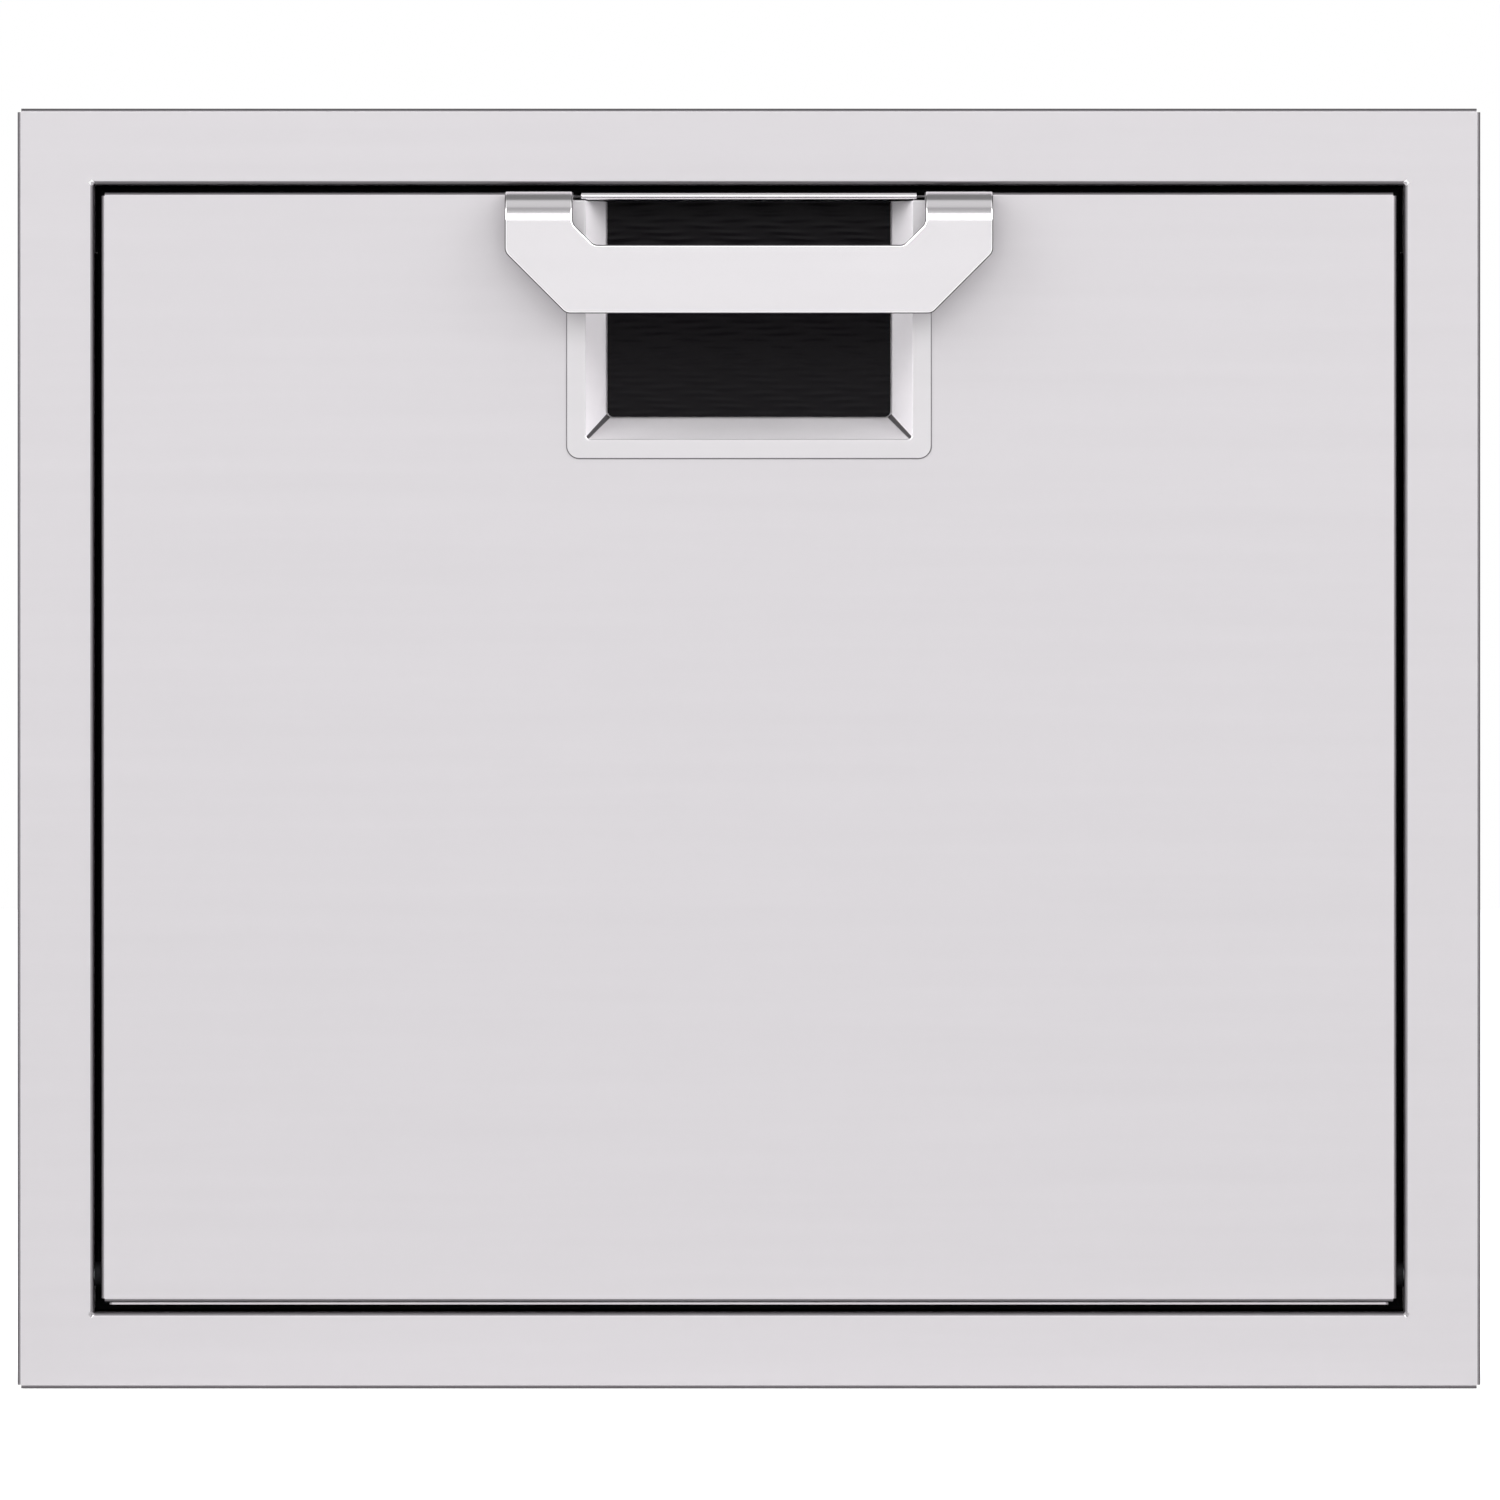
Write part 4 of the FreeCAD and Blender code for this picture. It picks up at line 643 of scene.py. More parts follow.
@dataclass
class FrameBezel(Fitted):
    """The frame: one bent sheet with lips, face flange and sleeve."""

    node: ClassVar[str] = "frame_bezel"
    gauge: float = 1.2 * MM  # sheet of the frame
    flange: float = 31.75 * MM  # face flange, from its outer edge to the opening
    lip_bend: float = 1.5 * MM  # outside radius of the lips' bend
    opening_bend: float = 1.8 * MM  # outside radius of the bend round the opening
    notch: float = 1.5 * MM  # open corner between two lips
    relief: float = 1.4 * MM  # centre to point of the diagonal bend reliefs
    relief_out: float = 0.9 * MM  # their centres outside the opening's corners, each way
    screw_radius: float = 2.75 * MM  # mounting holes in the sleeve's sides
    screw_back: float = 45.0 * MM  # depth of those holes
    screw_up: float = 200.0 * MM  # height of those holes, above and below the middle
    pin_radius: float = 3.05 * MM  # hinge pins' holes in the sleeve's sides
    edge: float = 0.18 * MM  # rounding of the sheet's edges

    @property
    def opening(self) -> Vector:
        """Half the opening's width and height, as x and z."""
        return Vector((self.high.x - self.flange, 0, self.high.z - self.flange))

    def sheet(self) -> BMesh:
        """Bends the sheet, before it has a gauge.

        Returns:
            Its outer faces.
        """
        front = self.low.y
        shape = pan(self.low, (self.high.x, 0, self.high.z))
        face = [face for face in shape.faces if face.normal.y < -0.5]
        bmesh.ops.inset_region(shape, faces=face, thickness=self.flange, use_even_offset=True)
        moved = bmesh.ops.extrude_face_region(shape, geom=face)["geom"]
        bmesh.ops.translate(shape, vec=(0, self.high.y - front, 0), verts=made_of(BMVert, moved))
        bmesh.ops.delete(shape, geom=face + made_of(BMFace, moved), context="FACES_ONLY")
        round_off(shape, rim_edges(shape, front, self.low, self.high), self.lip_bend)
        inner = rim_edges(shape, front, -self.opening, self.opening)
        round_off(shape, inner, self.opening_bend)
        return shape

    def cuts(self) -> BMesh:
        """Makes the open corners, bend reliefs, screw holes and pin holes.

        Returns:
            The cutting shapes as one.
        """
        half, pin = self.opening, middle_of("hinge_pins")
        ends = self.low.y - OVER, self.low.y + self.opening_bend + self.relief
        tools = corner_blocks(self.low, Vector((self.high.x, 0, self.high.z)), self.notch)
        for x in (-1, 1):
            for z in (-1, 1):
                across, upward = x * (half.x + self.relief_out), z * (half.z + self.relief_out)
                corners = [(across - self.relief, upward), (across, upward - self.relief),
                           (across + self.relief, upward), (across, upward + self.relief)]
                tools += [prism(corners, *ends),
                          drill((x * half.x, self.screw_back, z * self.screw_up),
                                self.screw_radius)]
            tools.append(drill((x * half.x, pin.y, pin.z), self.pin_radius))
        return merged(tools)

    def build(self) -> None:
        """Makes and places the frame."""
        piece = linked(self.sheet(), "frame_sheet")
        thicken(piece, self.gauge)
        carve(piece, self.cuts())
        soften(piece, self.edge)
        # Faces outside the bends get painted shade: dark lines round the frame
        place(piece, "frame", [SATIN, SATIN_SIDE, BEND_SHADE], ["frame_bezel"],
              bent)


@dataclass
class DoorSkin(Fitted):
    """The door's front sheet with its four returns."""

    node: ClassVar[str] = "door_skin"
    gauge: float = 1.0 * MM  # sheet of the skin
    bend: float = 1.4 * MM  # outside radius of its bends
    notch: float = 1.4 * MM  # open corner between two returns
    window_half: float = 73.3 * MM  # half the width of the window for the hand pocket
    window_inset: float = 4.0 * MM  # window's lower edge above the bezel's
    bush_hole: float = 4.6 * MM  # radius of the hinge bushes' holes

    def cuts(self) -> BMesh:
        """Makes the open corners, the window and the bush holes.

        Returns:
            The cutting shapes as one.
        """
        low, high, pin = self.low, self.high, middle_of("hinge_pins")
        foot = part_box("hand_pocket")[0].z + self.window_inset
        window = block((-self.window_half, low.y - OVER, foot),
                       (self.window_half, high.y + OVER, high.z + OVER))
        holes = [drill((side.value * high.x, pin.y, pin.z), self.bush_hole) for side in Side]
        return merged([window, *corner_blocks(low, high, self.notch), *holes])

    def build(self) -> None:
        """Makes and places the skin."""
        shape = pan(self.low, self.high)
        round_off(shape, rim_edges(shape, self.low.y, self.low, self.high), self.bend)
        piece = linked(shape, "door_skin_sheet")
        thicken(piece, self.gauge)
        carve(piece, self.cuts())
        soften(piece)
        # Faces outside the bends get painted shade: dark lines round the door
        place(piece, "door", [SATIN, SATIN_SIDE, BEND_SHADE], ["door_skin"],
              bent)


@dataclass
class Handle(Fitted):
    """The bent plate handle: feet, webs, arms and the grip bar between them."""

    node: ClassVar[str] = "handle"
    plate: float = 3.0 * MM  # its thickness
    front_bend: float = 12.7 * MM  # outside radius of the bend from the arms to the webs
    rear_bend: float = 4.5 * MM  # outside radius of the bend from the webs to the feet
    bar_drop: float = 22.225 * MM  # top of the grip bar below the handle's top
    arm: float = 28.2 * MM  # width of each arm
    chamfer: float = 25.4 * MM  # outer lower corner, each way
    inner_chamfer: float = 8.75 * MM  # corner where an arm meets the bar
    corner: float = 4.0 * MM  # rounding of those corners
    foot: float = 24.0 * MM  # height of the feet
    foot_gap: float = 77.6 * MM  # half the clear width between the feet
    edge: float = 0.8 * MM  # rounding of the plate's edges
    arris: tuple[float, float] = (0.1, 0.5)  # sines of the tilts between which an edge face gets the painted highlight

    def plate_part(self, polygon: MeshPolygon) -> int:
        """Tells the blank's faces from its edges.

        Args:
            polygon: a face of the handle.

        Returns:
            0 for the plate's faces, 1 for its edges in painted shade and 2 for the painted
            highlight between them.
        """
        flat = polygon.center.z < self.high.z - self.front_bend
        turned = math.hypot(polygon.normal.x, polygon.normal.z if flat else 0)
        return 0 if turned < self.arris[0] else 2 if turned < self.arris[1] else 1

    def sheet(self) -> BMesh:
        """Bends the blank from the bar's lower edge to the feet.

        Returns:
            Its outer faces.
        """
        low, high, turn = self.low, self.high, -math.pi / 2
        front = Vector((0, low.y + self.front_bend, high.z - self.front_bend))
        rear = Vector((0, high.y - self.rear_bend, high.z - self.rear_bend))
        sheet = SweptSheet(Vector((0, low.y, low.z)), high.x - low.x)
        sheet.run((0, 0, front.z - low.z)).bend(front, turn, 32)
        sheet.run((0, rear.y - front.y, 0)).bend(rear, turn, 12)
        return sheet.run((0, 0, self.rear_bend - self.foot)).done()

    def cuts(self) -> BMesh:
        """Makes the well over the bar and the gap between the feet.

        Returns:
            The cutting shapes as one.
        """
        low, high = self.low, self.high
        arm, bar, top = high.x - self.arm, high.z - self.bar_drop, high.z + OVER
        inner, corner = self.inner_chamfer, self.corner
        well = [(inner - arm, bar, corner), (arm - inner, bar, corner),
                (arm, bar + inner, corner), (arm, top), (-arm, top), (-arm, bar + inner, corner)]
        return merged([prism(well, low.y - OVER, high.y + OVER),
                       block((-self.foot_gap, high.y - self.rear_bend, high.z - self.foot - OVER),
                             (self.foot_gap, high.y + OVER, top))])

    def outline(self) -> BMesh:
        """Makes the blank's outline, as seen from the front.

        Returns:
            The trimming shape.
        """
        low, high, chamfer, corner = self.low, self.high, self.chamfer, self.corner
        corners = [(low.x, high.z + OVER), (low.x, low.z + chamfer, corner),
                   (low.x + chamfer, low.z, corner), (high.x - chamfer, low.z, corner),
                   (high.x, low.z + chamfer, corner), (high.x, high.z + OVER)]
        return prism(corners, low.y - OVER, high.y + OVER)

    def build(self) -> None:
        """Makes and places the handle."""
        piece = linked(self.sheet(), "handle_plate")
        thicken(piece, self.plate)
        carve(piece, self.cuts(), crossing=True)
        carve(piece, self.outline(), "INTERSECT")
        soften(piece, self.edge, 6, held=False)
        self.keep_inside(piece)
        # The handle's edges get painted shade, with a painted highlight between them and its
        # faces
        place(piece, "door", [BRIGHT, EDGE_SHADE, EDGE_HIGHLIGHT], ["handle"],
              self.plate_part)


@dataclass
class HandPocket(Fitted):
    """The pressed pocket behind the bar, with its insert and its rail."""

    node: ClassVar[str] = "hand_pocket"
    gauge: float = 1.0 * MM  # sheet of the pocket and the rail
    rim: float = 8.1 * MM  # bezel flange from its edge to the mouth
    slope_side: float = 8.75 * MM  # how far each side wall leans in
    slope_foot: float = 9.3 * MM  # how far the bottom wall leans up
    outer_corner: float = 5.5 * MM  # lower outer corners of the bezel
    inner_corner: float = 2.6 * MM  # rounding between the walls
    mouth_sharp: float = 0.3  # how much of that rounding is gone at the mouth
    mouth_round: float = 0.4 * MM  # rounding of the mouth's edge
    edge: float = 0.45 * MM  # rounding of the pressing's edges
    flange_part: float = 0.77  # how squarely the mouth's round looks ahead to count as flange
    corner_part: float = 0.36  # how far a face looks both sideways and up to count as corner

    def pocket_part(self, polygon: MeshPolygon) -> int:
        """Tells the parts of the pressing apart.

        Args:
            polygon: a face of the pocket.

        Returns:
            0 for the flange, 1 for a side wall, 2 for the bottom wall in painted shade, 3 for the
            corners between them and 4 for the flange's own edge, both also in painted shade.
        """
        spot, normal, half = polygon.center, polygon.normal, self.rim / 2
        across, upward = abs(normal.x), abs(normal.z)
        if abs(spot.x) > self.high.x - half or spot.z < self.low.z + half:
            return 4 if abs(normal.y) < 0.99 else 0
        if normal.y < -self.flange_part and spot.y < self.low.y + self.gauge:
            return 0
        if min(across, upward) > self.corner_part:
            return 3
        return 1 if across > upward else 2

    def shell(self) -> BMesh:
        """Presses the pocket into its flange.

        Returns:
            The pocket's visible faces, open at the top.
        """
        low, high = self.low, self.high
        deep = high.y - low.y - self.gauge
        shape = block(low, (high.x, low.y + self.gauge, high.z + 2 * self.rim))
        others = [face for face in shape.faces if face.normal.y > -0.5]
        bmesh.ops.delete(shape, geom=others, context="FACES")
        face = shape.faces[:]
        bmesh.ops.inset_region(shape, faces=face, thickness=self.rim, use_even_offset=True,
                               use_boundary=True)
        moved = bmesh.ops.extrude_face_region(shape, geom=face)["geom"]
        bmesh.ops.delete(shape, geom=face, context="FACES_ONLY")
        for vert in made_of(BMVert, moved):
            vert.co.y += deep
            vert.co.x -= math.copysign(self.slope_side, vert.co.x)
            if vert.co.z < high.z:
                vert.co.z += self.slope_foot
        shape.normal_update()
        leaning = [edge for edge in shape.edges
                   if abs(edge.verts[0].co.y - edge.verts[1].co.y) > deep / 2
                   and max(vert.co.z for vert in edge.verts) < high.z]
        round_off(shape, leaning, self.inner_corner)
        # Takes in the whole round at a corner of the mouth
        reach = 1.2 * self.inner_corner
        for vert in shape.verts:
            spot = Vector((math.copysign(high.x - self.rim, vert.co.x), low.y, low.z + self.rim))
            if abs(vert.co.y - low.y) < NEAR and (vert.co - spot).length < reach:
                vert.co = vert.co.lerp(spot, self.mouth_sharp)
        shape.normal_update()
        mouth = [edge for edge in shape.edges
                 if edge.calc_face_angle(0) > math.radians(20)
                 and all(abs(vert.co.y - low.y) < NEAR for vert in edge.verts)]
        round_off(shape, mouth, self.mouth_round, 4)
        return shape

    def build(self) -> None:
        """Makes and places the pocket, its insert and its rail."""
        piece = linked(self.shell(), "hand_pocket_shell")
        thicken(piece, self.gauge)
        carve(piece, self.foot_rounded(self.outer_corner), "INTERSECT", crossing=True)
        soften(piece, self.edge, 4, held=False)
        self.keep_inside(piece)
        # The bottom wall, the corners between the walls and the flange's edge get painted shade
        place(piece, "door", [BUFFED, BLASTED, FOOT_WALL_SHADE, CORNER_SHADE, BEND_SHADE],
              ["hand_pocket"], self.pocket_part)
        PocketInsert(self.inner_corner).build()
        PocketRail(self.gauge).build()


@dataclass
class PocketInsert(Fitted):
    """The dark plate at the back of the pocket, with broken ribs across it."""

    node: ClassVar[str] = "pocket_insert"
    corner: float  # rounding of its lower corners
    rib: float = 2.7 * MM  # spacing of the ribs
    rib_high: float = 0.22 * MM  # their height
    dash: float = 13.0 * MM  # how far a rib runs before it fades
    grid: float = 0.9 * MM  # spacing of the points along a rib
    rows: int = 6  # how many rows of points a rib has

    def ribbed(self) -> BMesh:
        """Raises the ribs from a plain plate.

        Returns:
            The closed plate, with square corners.
        """
        low, high = self.low, self.high
        wide, tall = high.x - low.x, high.z - low.z
        shape = bmesh.new()
        bmesh.ops.create_grid(shape, x_segments=round(wide / self.grid),
                              y_segments=round(tall / self.rib) * self.rows, size=0.5,
                              matrix=Matrix.Rotation(math.pi / 2, 4, "X"))
        bmesh.ops.scale(shape, vec=(wide, 1, tall), verts=shape.verts)
        bmesh.ops.translate(shape, vec=(0, low.y, (low.z + high.z) / 2), verts=shape.verts)
        for vert in shape.verts:
            x, z = vert.co.x, vert.co.z - low.z
            row = math.floor(z / self.rib)
            # Rows start out of step, so the dashes never line up
            phase = 2.4 * row + 0.8 * math.sin(1.7 * row)
            fade = 0.5 + 0.5 * math.sin(math.tau * x / self.dash / 2 + phase)
            sway = 0.12 * math.sin(math.tau * x / (2.3 * self.dash) + row)
            wave = 0.5 - 0.5 * math.cos(math.tau * (z / self.rib + sway))
            vert.co.y += self.rib_high * (1 - fade * wave)
        rim = [edge for edge in shape.edges if edge.is_boundary]
        for vert in made_of(BMVert, bmesh.ops.extrude_edge_only(shape, edges=rim)["geom"]):
            vert.co.y = high.y
        bmesh.ops.holes_fill(shape, edges=[edge for edge in shape.edges if edge.is_boundary])
        bmesh.ops.recalc_face_normals(shape, faces=shape.faces)
        return shape

    def build(self) -> None:
        """Makes and places the insert."""
        piece = linked(self.ribbed(), "pocket_insert_plate")
        carve(piece, self.foot_rounded(self.corner), "INTERSECT")
        shade(piece, 40)
        place(piece, "door", [GRIP], ["pocket_insert"])


@dataclass
class PocketRail(Fitted):
    """The folded rail with a half-round nose that closes the pocket's top."""

    node: ClassVar[str] = "pocket_rail"
    gauge: float  # sheet of the rail

    def build(self) -> None:
        """Makes and places the rail."""
        low, high = self.low, self.high
        radius, back = (high.z - low.z) / 2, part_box("pocket_insert")[1].y
        nose = Vector((0, low.y + radius, low.z + radius))
        sheet = SweptSheet(Vector((0, back, low.z)), high.x - low.x)
        sheet.run((0, nose.y - back, 0)).bend(nose, -math.pi, 16).run((0, high.y - nose.y, 0))
        piece = linked(sheet.done(), "pocket_rail_fold")
        thicken(piece, self.gauge)
        soften(piece)
        place(piece, "door", [BRIGHT], ["pocket_rail"])


@dataclass
class CarriedNodes:
    """The nodes whose shape is right as it is, by what they are finished in.

    Attributes:
        as_is: plain flat-sided nodes, which only get a finish.
        eased: bent or turned nodes, which get eased edges and even shading too.
    """

    as_is: dict[str, Finish] = field(default_factory=lambda: {
        "catch_magnets": FERRITE, "catch_poles": ZINC, "strike_plates": ZINC,
        "hinge_blocks": ZINC, "hinge_plates": SATIN_SIDE, "door_stiffeners": SATIN_SIDE,
        "handle_backing": ZINC, "sill_seal": RUBBER})
    eased: dict[str, Finish] = field(default_factory=lambda: {
        # The stops are black as painted shade in the gap round the door
        "stop_top": STOP_SHADE, "stop_bottom": STOP_SHADE, "stop_left": STOP_SHADE,
        "stop_right": STOP_SHADE, "door_liner": MILL, "door_seal": RUBBER,
        # The acetal is darkened as painted shade, so the bushes keep the gap black
        "catch_housings": ACETAL_SHADE, "hinge_pins": ZINC, "hinge_bushes": ACETAL_SHADE,
        "handle_screws": ZINC, "stay_track_left": SATIN_SIDE, "stay_track_right": SATIN_SIDE,
        "stay_brackets": SATIN_SIDE, "stay_pivots": ZINC, "stay_arm_left": SATIN_SIDE,
        "stay_arm_right": SATIN_SIDE, "stay_glide_left": NYLON, "stay_glide_right": NYLON})

    def ease(self, name: str, finish: Finish) -> None:
        """Replaces a node by a merged copy with broken edges.

        Args:
            name: the node.
            finish: its finish.
        """
        node = frame["nodes"][name]
        shape = bmesh.new()
        shape.from_mesh(node.data)
        bmesh.ops.remove_doubles(shape, verts=shape.verts, dist=NEAR / 4)
        bmesh.ops.dissolve_limit(shape, angle_limit=math.radians(0.5), verts=shape.verts,
                                 edges=shape.edges)
        piece = linked(shape, f"{name}_eased")
        soften(piece)
        place(piece, node["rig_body"], [finish], [name])

    def build(self) -> None:
        """Dresses them all."""
        for name, finish in self.as_is.items():
            node = frame["nodes"][name]
            for slot in node.material_slots:
                slot.material = material_of(finish)
            log.info("%s: %s", name, finish.name)
        for name, finish in self.eased.items():
            self.ease(name, finish)


@dataclass(frozen=True)
class Head:
    """The low domed head of a rivet or screw."""

    radius: float  # radius of its foot
    high: float  # height of its crown
    crease: float  # angle in degrees past which its shading breaks
    recess: tuple[Vector, ...] = ()  # half the size of each arm of its cross recess

    def spun(self, seat: Vector, axis: Vector) -> BMesh:
        """Spins one head from its own profile.

        Args:
            seat: centre of its foot.
            axis: unit direction that it points in.

        Returns:
            The closed head, still without its recess.
        """
        shape = bmesh.new()
        rim, steps = 0.35 * self.high, 6
        profile = [shape.verts.new((0, 0, 0)), shape.verts.new((self.radius, 0, 0))]
        for i in range(steps):
            turn = math.pi / 2 * i / steps
            profile.append(shape.verts.new((self.radius * math.cos(turn), 0,
                                            rim + (self.high - rim) * math.sin(turn))))
        profile.append(shape.verts.new((0, 0, self.high)))
        for near, far in zip(profile, profile[1:]):
            shape.edges.new((near, far))
        bmesh.ops.spin(shape, geom=shape.verts[:] + shape.edges[:], cent=(0, 0, 0),
                       axis=(0, 0, 1), angle=math.tau, steps=ROUND, use_merge=True)
        bmesh.ops.remove_doubles(shape, verts=shape.verts, dist=NEAR / 10)
        bmesh.ops.recalc_face_normals(shape, faces=shape.faces)
        turn = axis.to_track_quat("Z", "Y").to_matrix().to_4x4()
        bmesh.ops.transform(shape, matrix=Matrix.Translation(seat) @ turn, verts=shape.verts)
        return shape


RIVET = Head(3.2 * MM, 1.2 * MM, 50)
SCREW = Head(3.0 * MM, 1.6 * MM, 35,
             (Vector((1.5, 0.9, 0.35)) * MM, Vector((0.35, 0.9, 1.5)) * MM))


@dataclass
class SmallFasteners:
    """Rivets and screws that hold liner, tracks, brackets and catches."""

    liner_across: float = 150.0 * MM  # liner rivets from the middle
    liner_up: tuple[float, ...] = (-175.0 * MM, 0.0, 175.0 * MM)  # their heights
    stay_gauge: float = 1.5 * MM  # sheet of the stays' tracks and brackets
    track_inset: float = 5.5 * MM  # track rivets from the track's rear edge
    track_up: tuple[float, ...] = (0.045, 0.5, 0.955)  # their heights, as shares of the track's
    ear_back: float = 3.2 * MM  # rear face of the catches' ears behind the top stop's front
    catch_half: float = 31.0 * MM  # half the width of a catch with its ears
    ear_out: float = 25.5 * MM  # catch screws beyond the catch's middle
    bracket_in: float = 13.0 * MM  # bracket screws from the bracket's ear
    bracket_up: float = 9.5 * MM  # bracket screws above and below the pivot

    def group(self, name: str, body: str, head: Head, seats: list[tuple[Vector, Vector]]) -> None:
        """Makes one group of heads.

        Args:
            name: the group's name.
            body: the body that carries it.
            head: their kind.
            seats: centre of each head's foot, and the direction that it points in.
        """
        piece = linked(merged([head.spun(seat, axis) for seat, axis in seats]), name)
        crowns = [seat + axis * head.high for seat, axis in seats]
        for arm in head.recess:
            carve(piece, merged([block(crown - arm, crown + arm) for crown in crowns]))
        shade(piece, head.crease)
        place(piece, body, [ZINC])

    def build(self) -> None:
        """Makes every group."""
        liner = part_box("door_liner")[1].y
        self.group("liner_rivets", "door", RIVET,
                   [(Vector((side.value * self.liner_across, liner, up)), BACK)
                    for side in Side for up in self.liner_up])
        seats = []
        for side in Side:
            low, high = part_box(f"stay_track_{side.name.lower()}")
            wall = max(abs(low.x), abs(high.x)) - self.stay_gauge
            for share in self.track_up:
                up = low.z + share * (high.z - low.z)
                seats.append((Vector((side.value * wall, high.y - self.track_inset, up)),
                              Vector((-side.value, 0, 0))))
        self.group("track_rivets", "frame", RIVET, seats)
        low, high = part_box("catch_housings")
        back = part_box("stop_top")[0].y + self.ear_back
        self.group("catch_screws", "frame", SCREW,
                   [(Vector((side.value * (high.x - self.catch_half + out), back,
                             (low.z + high.z) / 2)), BACK)
                    for side in Side for out in (-self.ear_out, self.ear_out)])
        low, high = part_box("stay_brackets")
        self.group("bracket_screws", "door", SCREW,
                   [(Vector((side.value * (high.x - self.bracket_in), low.y + self.stay_gauge,
                             (low.z + high.z) / 2 + up)), BACK)
                    for side in Side for up in (-self.bracket_up, self.bracket_up)])


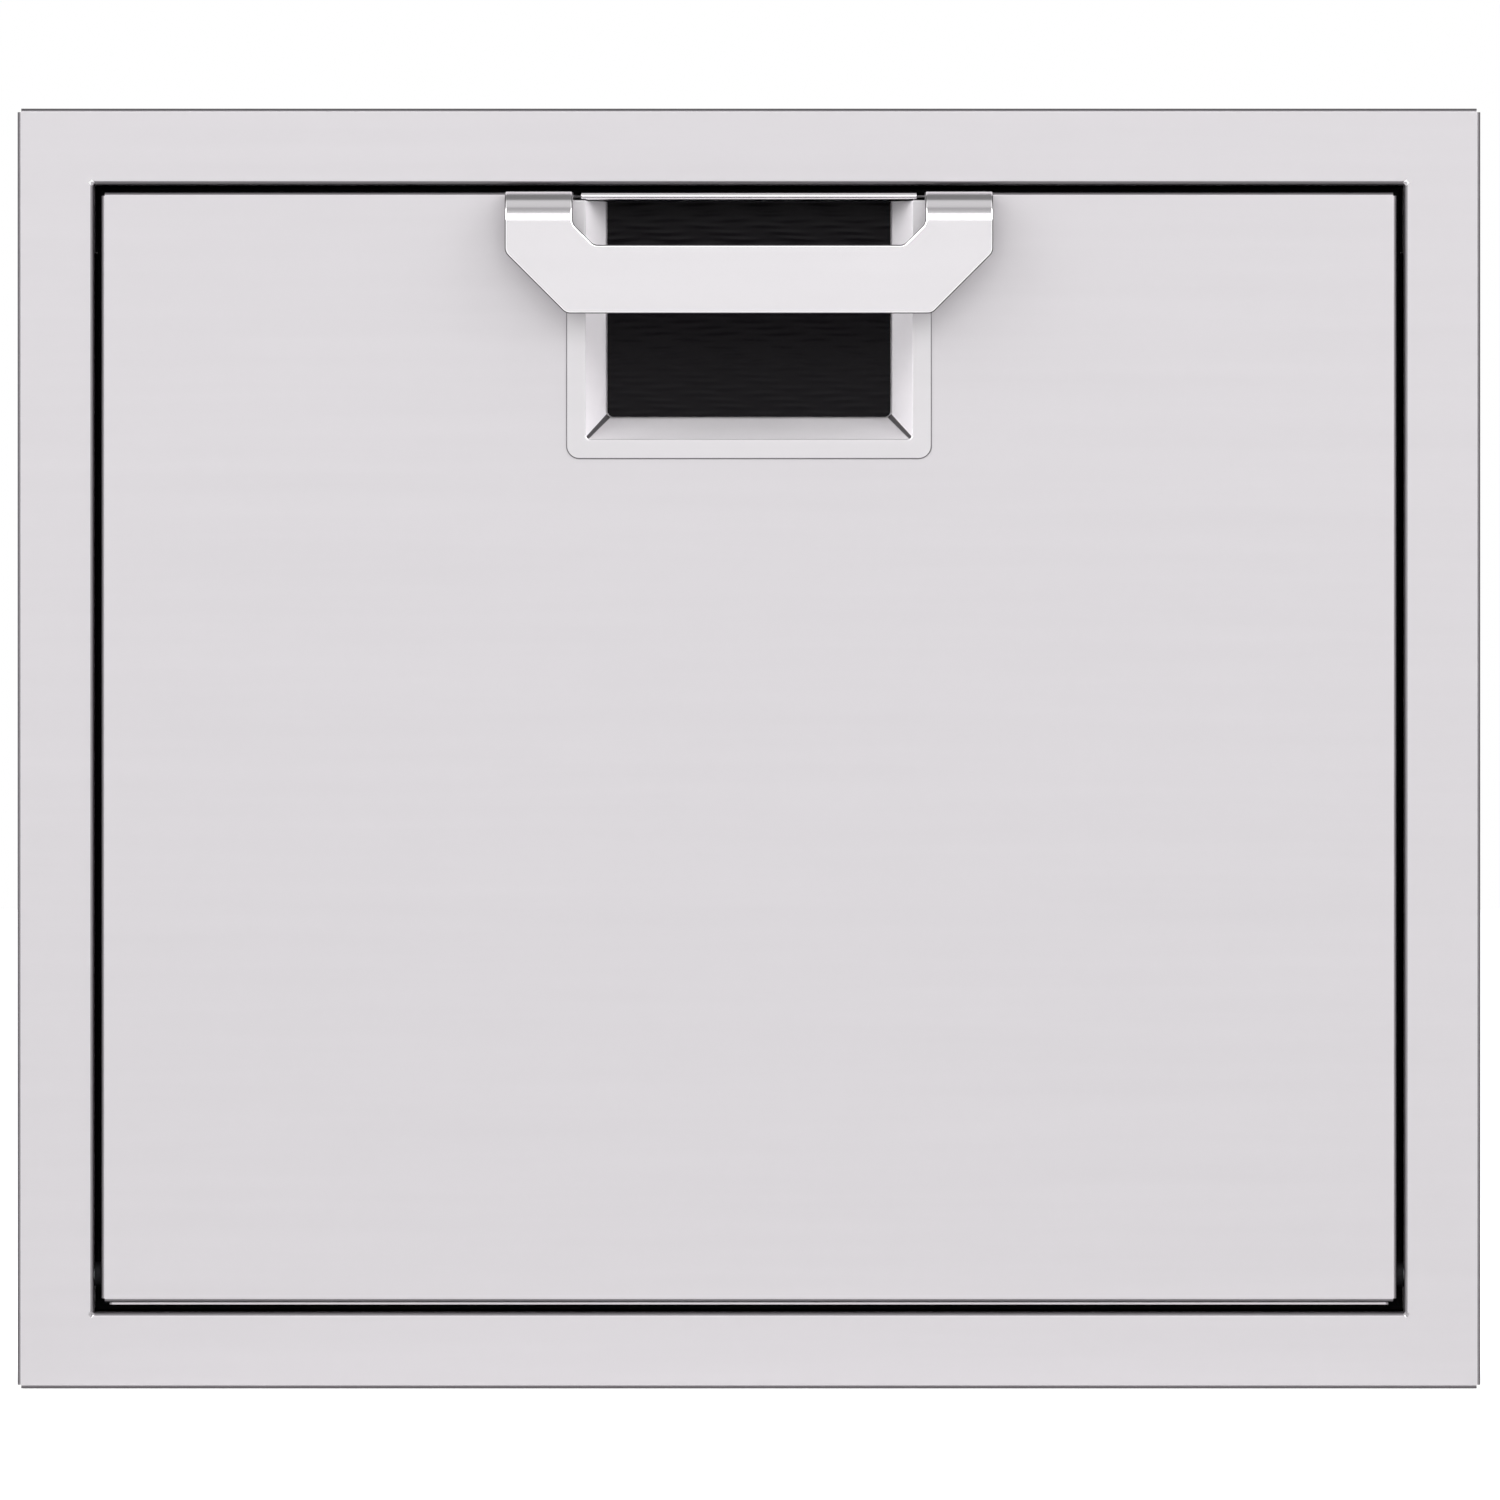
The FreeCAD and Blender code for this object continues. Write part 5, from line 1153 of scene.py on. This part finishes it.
@dataclass
class Studio(Fitted):
    """Pale floor, soft light and the camera in front of the door."""

    node: ClassVar[str] = "frame_bezel"
    photo_side: float = 1500.0  # width and height of the photograph, in its pixels
    frame_left: float = 17.6  # left edge of the frame, in those pixels
    frame_right: float = 1480.3  # its right edge
    frame_top: float = 108.4  # its top edge
    frame_foot: float = 1388.6  # its lower edge
    distance: float = 20.0  # camera ahead of the frame's face
    floor_gap: float = 0.2 * MM  # floor below the frame
    floor_lift: float = 0.62  # how much whiter the camera sees the floor
    lamp_size: tuple[float, float] = (36.0, 12.0)  # width and height of the softbox above
    lamp_place: tuple[float, float, float] = (0.0, -28.2, 10.5)
    lamp_power: float = 1550.0  # in watts
    fill_size: tuple[float, float] = (13.0, 13.0)  # the same for the softboxes at the sides
    fill_place: tuple[float, float, float] = (12.4, -12.4, 9.0)  # where the right one hangs
    fill_power: float = 1780.0  # watts of each
    # Light round the middle, as (share of the turn from front to back, level)
    cards: tuple[tuple[float, float], ...] = (
        (0.0, 1.0), (0.06, 0.96), (0.12, 0.55), (0.21, 0.42), (0.25, 0.74), (0.48, 0.78),
        (0.55, 0.24), (0.78, 0.24), (0.92, 0.66), (0.97, 0.08))
    # The same at the sides
    tents: tuple[tuple[float, float], ...] = ((0.0, 1.0), (0.45, 1.0), (0.55, 0.4), (0.7, 0.1))

    def camera(self) -> None:
        """Places the camera so that the frame lies where the photograph has it."""
        pixel = (self.high.x - self.low.x) / (self.frame_right - self.frame_left)
        across = (self.photo_side - self.frame_left - self.frame_right) / 2 * pixel
        upward = (self.frame_top + self.frame_foot - self.photo_side) / 2 * pixel
        data = bpy.data.cameras.new("camera")
        data.lens = data.sensor_width * self.distance / (self.photo_side * pixel)
        data.clip_end = 4 * self.distance
        camera = bpy.data.objects.new("camera", data)
        camera.location = (across, self.low.y - self.distance, upward)
        camera.rotation_euler = (math.pi / 2, 0, 0)
        bpy.context.scene.collection.objects.link(camera)
        bpy.context.scene.camera = camera

    def floor(self) -> None:
        """Lays the floor, which shows white and keeps the shadow."""
        shape = bmesh.new()
        level = Matrix.Translation((0, 0, self.low.z - self.floor_gap))
        bmesh.ops.create_grid(shape, x_segments=1, y_segments=1, size=60, matrix=level)
        floor = linked(shape, "floor")
        material = bpy.data.materials.new("pale_floor")
        material.use_nodes = True
        tree = material.node_tree
        tree.nodes.clear()
        rays = add_node(tree, "LightPath")
        matt = add_node(tree, "BsdfDiffuse", {"Color": linear("#f2f2f2")})
        lift = add_node(tree, "Math", {"operation": "MULTIPLY", 1: self.floor_lift},
                        {0: rays.outputs["Is Camera Ray"]})
        white = add_node(tree, "Emission", {"Color": (1, 1, 1, 1)}, {"Strength": lift.outputs[0]})
        both = add_node(tree, "AddShader", {}, {0: matt.outputs[0], 1: white.outputs[0]})
        add_node(tree, "OutputMaterial", {}, {"Surface": both.outputs[0]})
        floor.data.materials.append(material)

    def world(self) -> None:
        """Surrounds the door with soft light: open in front, dimmer above and at the sides."""
        world = bpy.data.worlds.new("studio")
        bpy.context.scene.world = world
        world.use_nodes = True
        tree = world.node_tree
        tree.nodes.clear()
        toward = add_node(tree, "TexCoord").outputs["Generated"]
        parts = add_node(tree, "SeparateXYZ", {}, {0: toward}).outputs
        turned = add_node(tree, "MapRange", {"From Min": -1.0, "From Max": 1.0},
                          {"Value": parts["Y"]})
        ramps = []
        for levels in (self.cards, self.tents):
            ramp = add_node(tree, "ValToRGB", {}, {"Fac": turned.outputs[0]})
            stops = ramp.color_ramp.elements
            while len(stops) < len(levels):
                stops.new(0.5)
            for stop, (at, level) in zip(stops, levels):
                stop.position, stop.color = at, (level, level, level, 1)
            ramps.append(ramp.outputs["Color"])
        across = add_node(tree, "Math", {"operation": "ABSOLUTE"}, {0: parts["X"]})
        # The cards fade into the tents between these two turns to the side
        beside = add_node(tree, "MapRange", {"From Min": 0.2, "From Max": 0.4},
                          {"Value": across.outputs[0]})
        around = add_node(tree, "Mix", {"data_type": "RGBA"},
                          {0: beside.outputs[0], 6: ramps[0], 7: ramps[1]})
        soft = add_node(tree, "Background", {}, {"Color": around.outputs[2]})
        white = add_node(tree, "Background", {"Color": (1, 1, 1, 1)})
        rays = add_node(tree, "LightPath")
        mix = add_node(tree, "MixShader", {}, {0: rays.outputs["Is Camera Ray"],
                                               1: soft.outputs[0], 2: white.outputs[0]})
        add_node(tree, "OutputWorld", {}, {"Surface": mix.outputs[0]})

    def softbox(self, name: str, spot: Iterable[float], size: tuple[float, float],
                power: float) -> None:
        """Hangs one softbox that looks at the door.

        Args:
            name: its name.
            spot: where it hangs.
            size: its width and height.
            power: its power, in watts.
        """
        data = bpy.data.lights.new(name, "AREA")
        data.shape, data.energy = "RECTANGLE", power
        data.size, data.size_y = size
        lamp = bpy.data.objects.new(name, data)
        lamp.location = spot
        lamp.rotation_euler = (-Vector(spot)).to_track_quat("-Z", "Y").to_euler()
        lamp.visible_camera = False
        bpy.context.scene.collection.objects.link(lamp)

    def build(self) -> None:
        """Sets the scene up."""
        self.camera()
        self.floor()
        self.world()
        self.softbox("softbox_above", self.lamp_place, self.lamp_size, self.lamp_power)
        x, y, z = self.fill_place
        for side in Side:
            self.softbox(f"softbox_{side.name.lower()}", (side.value * x, y, z), self.fill_size,
                         self.fill_power)
        bpy.context.scene.view_settings.view_transform = "Standard"


def main() -> None:
    """Builds every sub-assembly, then the studio round them, and logs each one."""
    logging.basicConfig(level=logging.INFO, format="%(name)s: %(message)s")
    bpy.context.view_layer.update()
    for part in (FrameBezel(), DoorSkin(), Handle(), HandPocket(), CarriedNodes(),
                 SmallFasteners(), Studio()):
        part.build()
        log.info("%s is built", type(part).__name__)


if __name__ == "__main__":
    main()
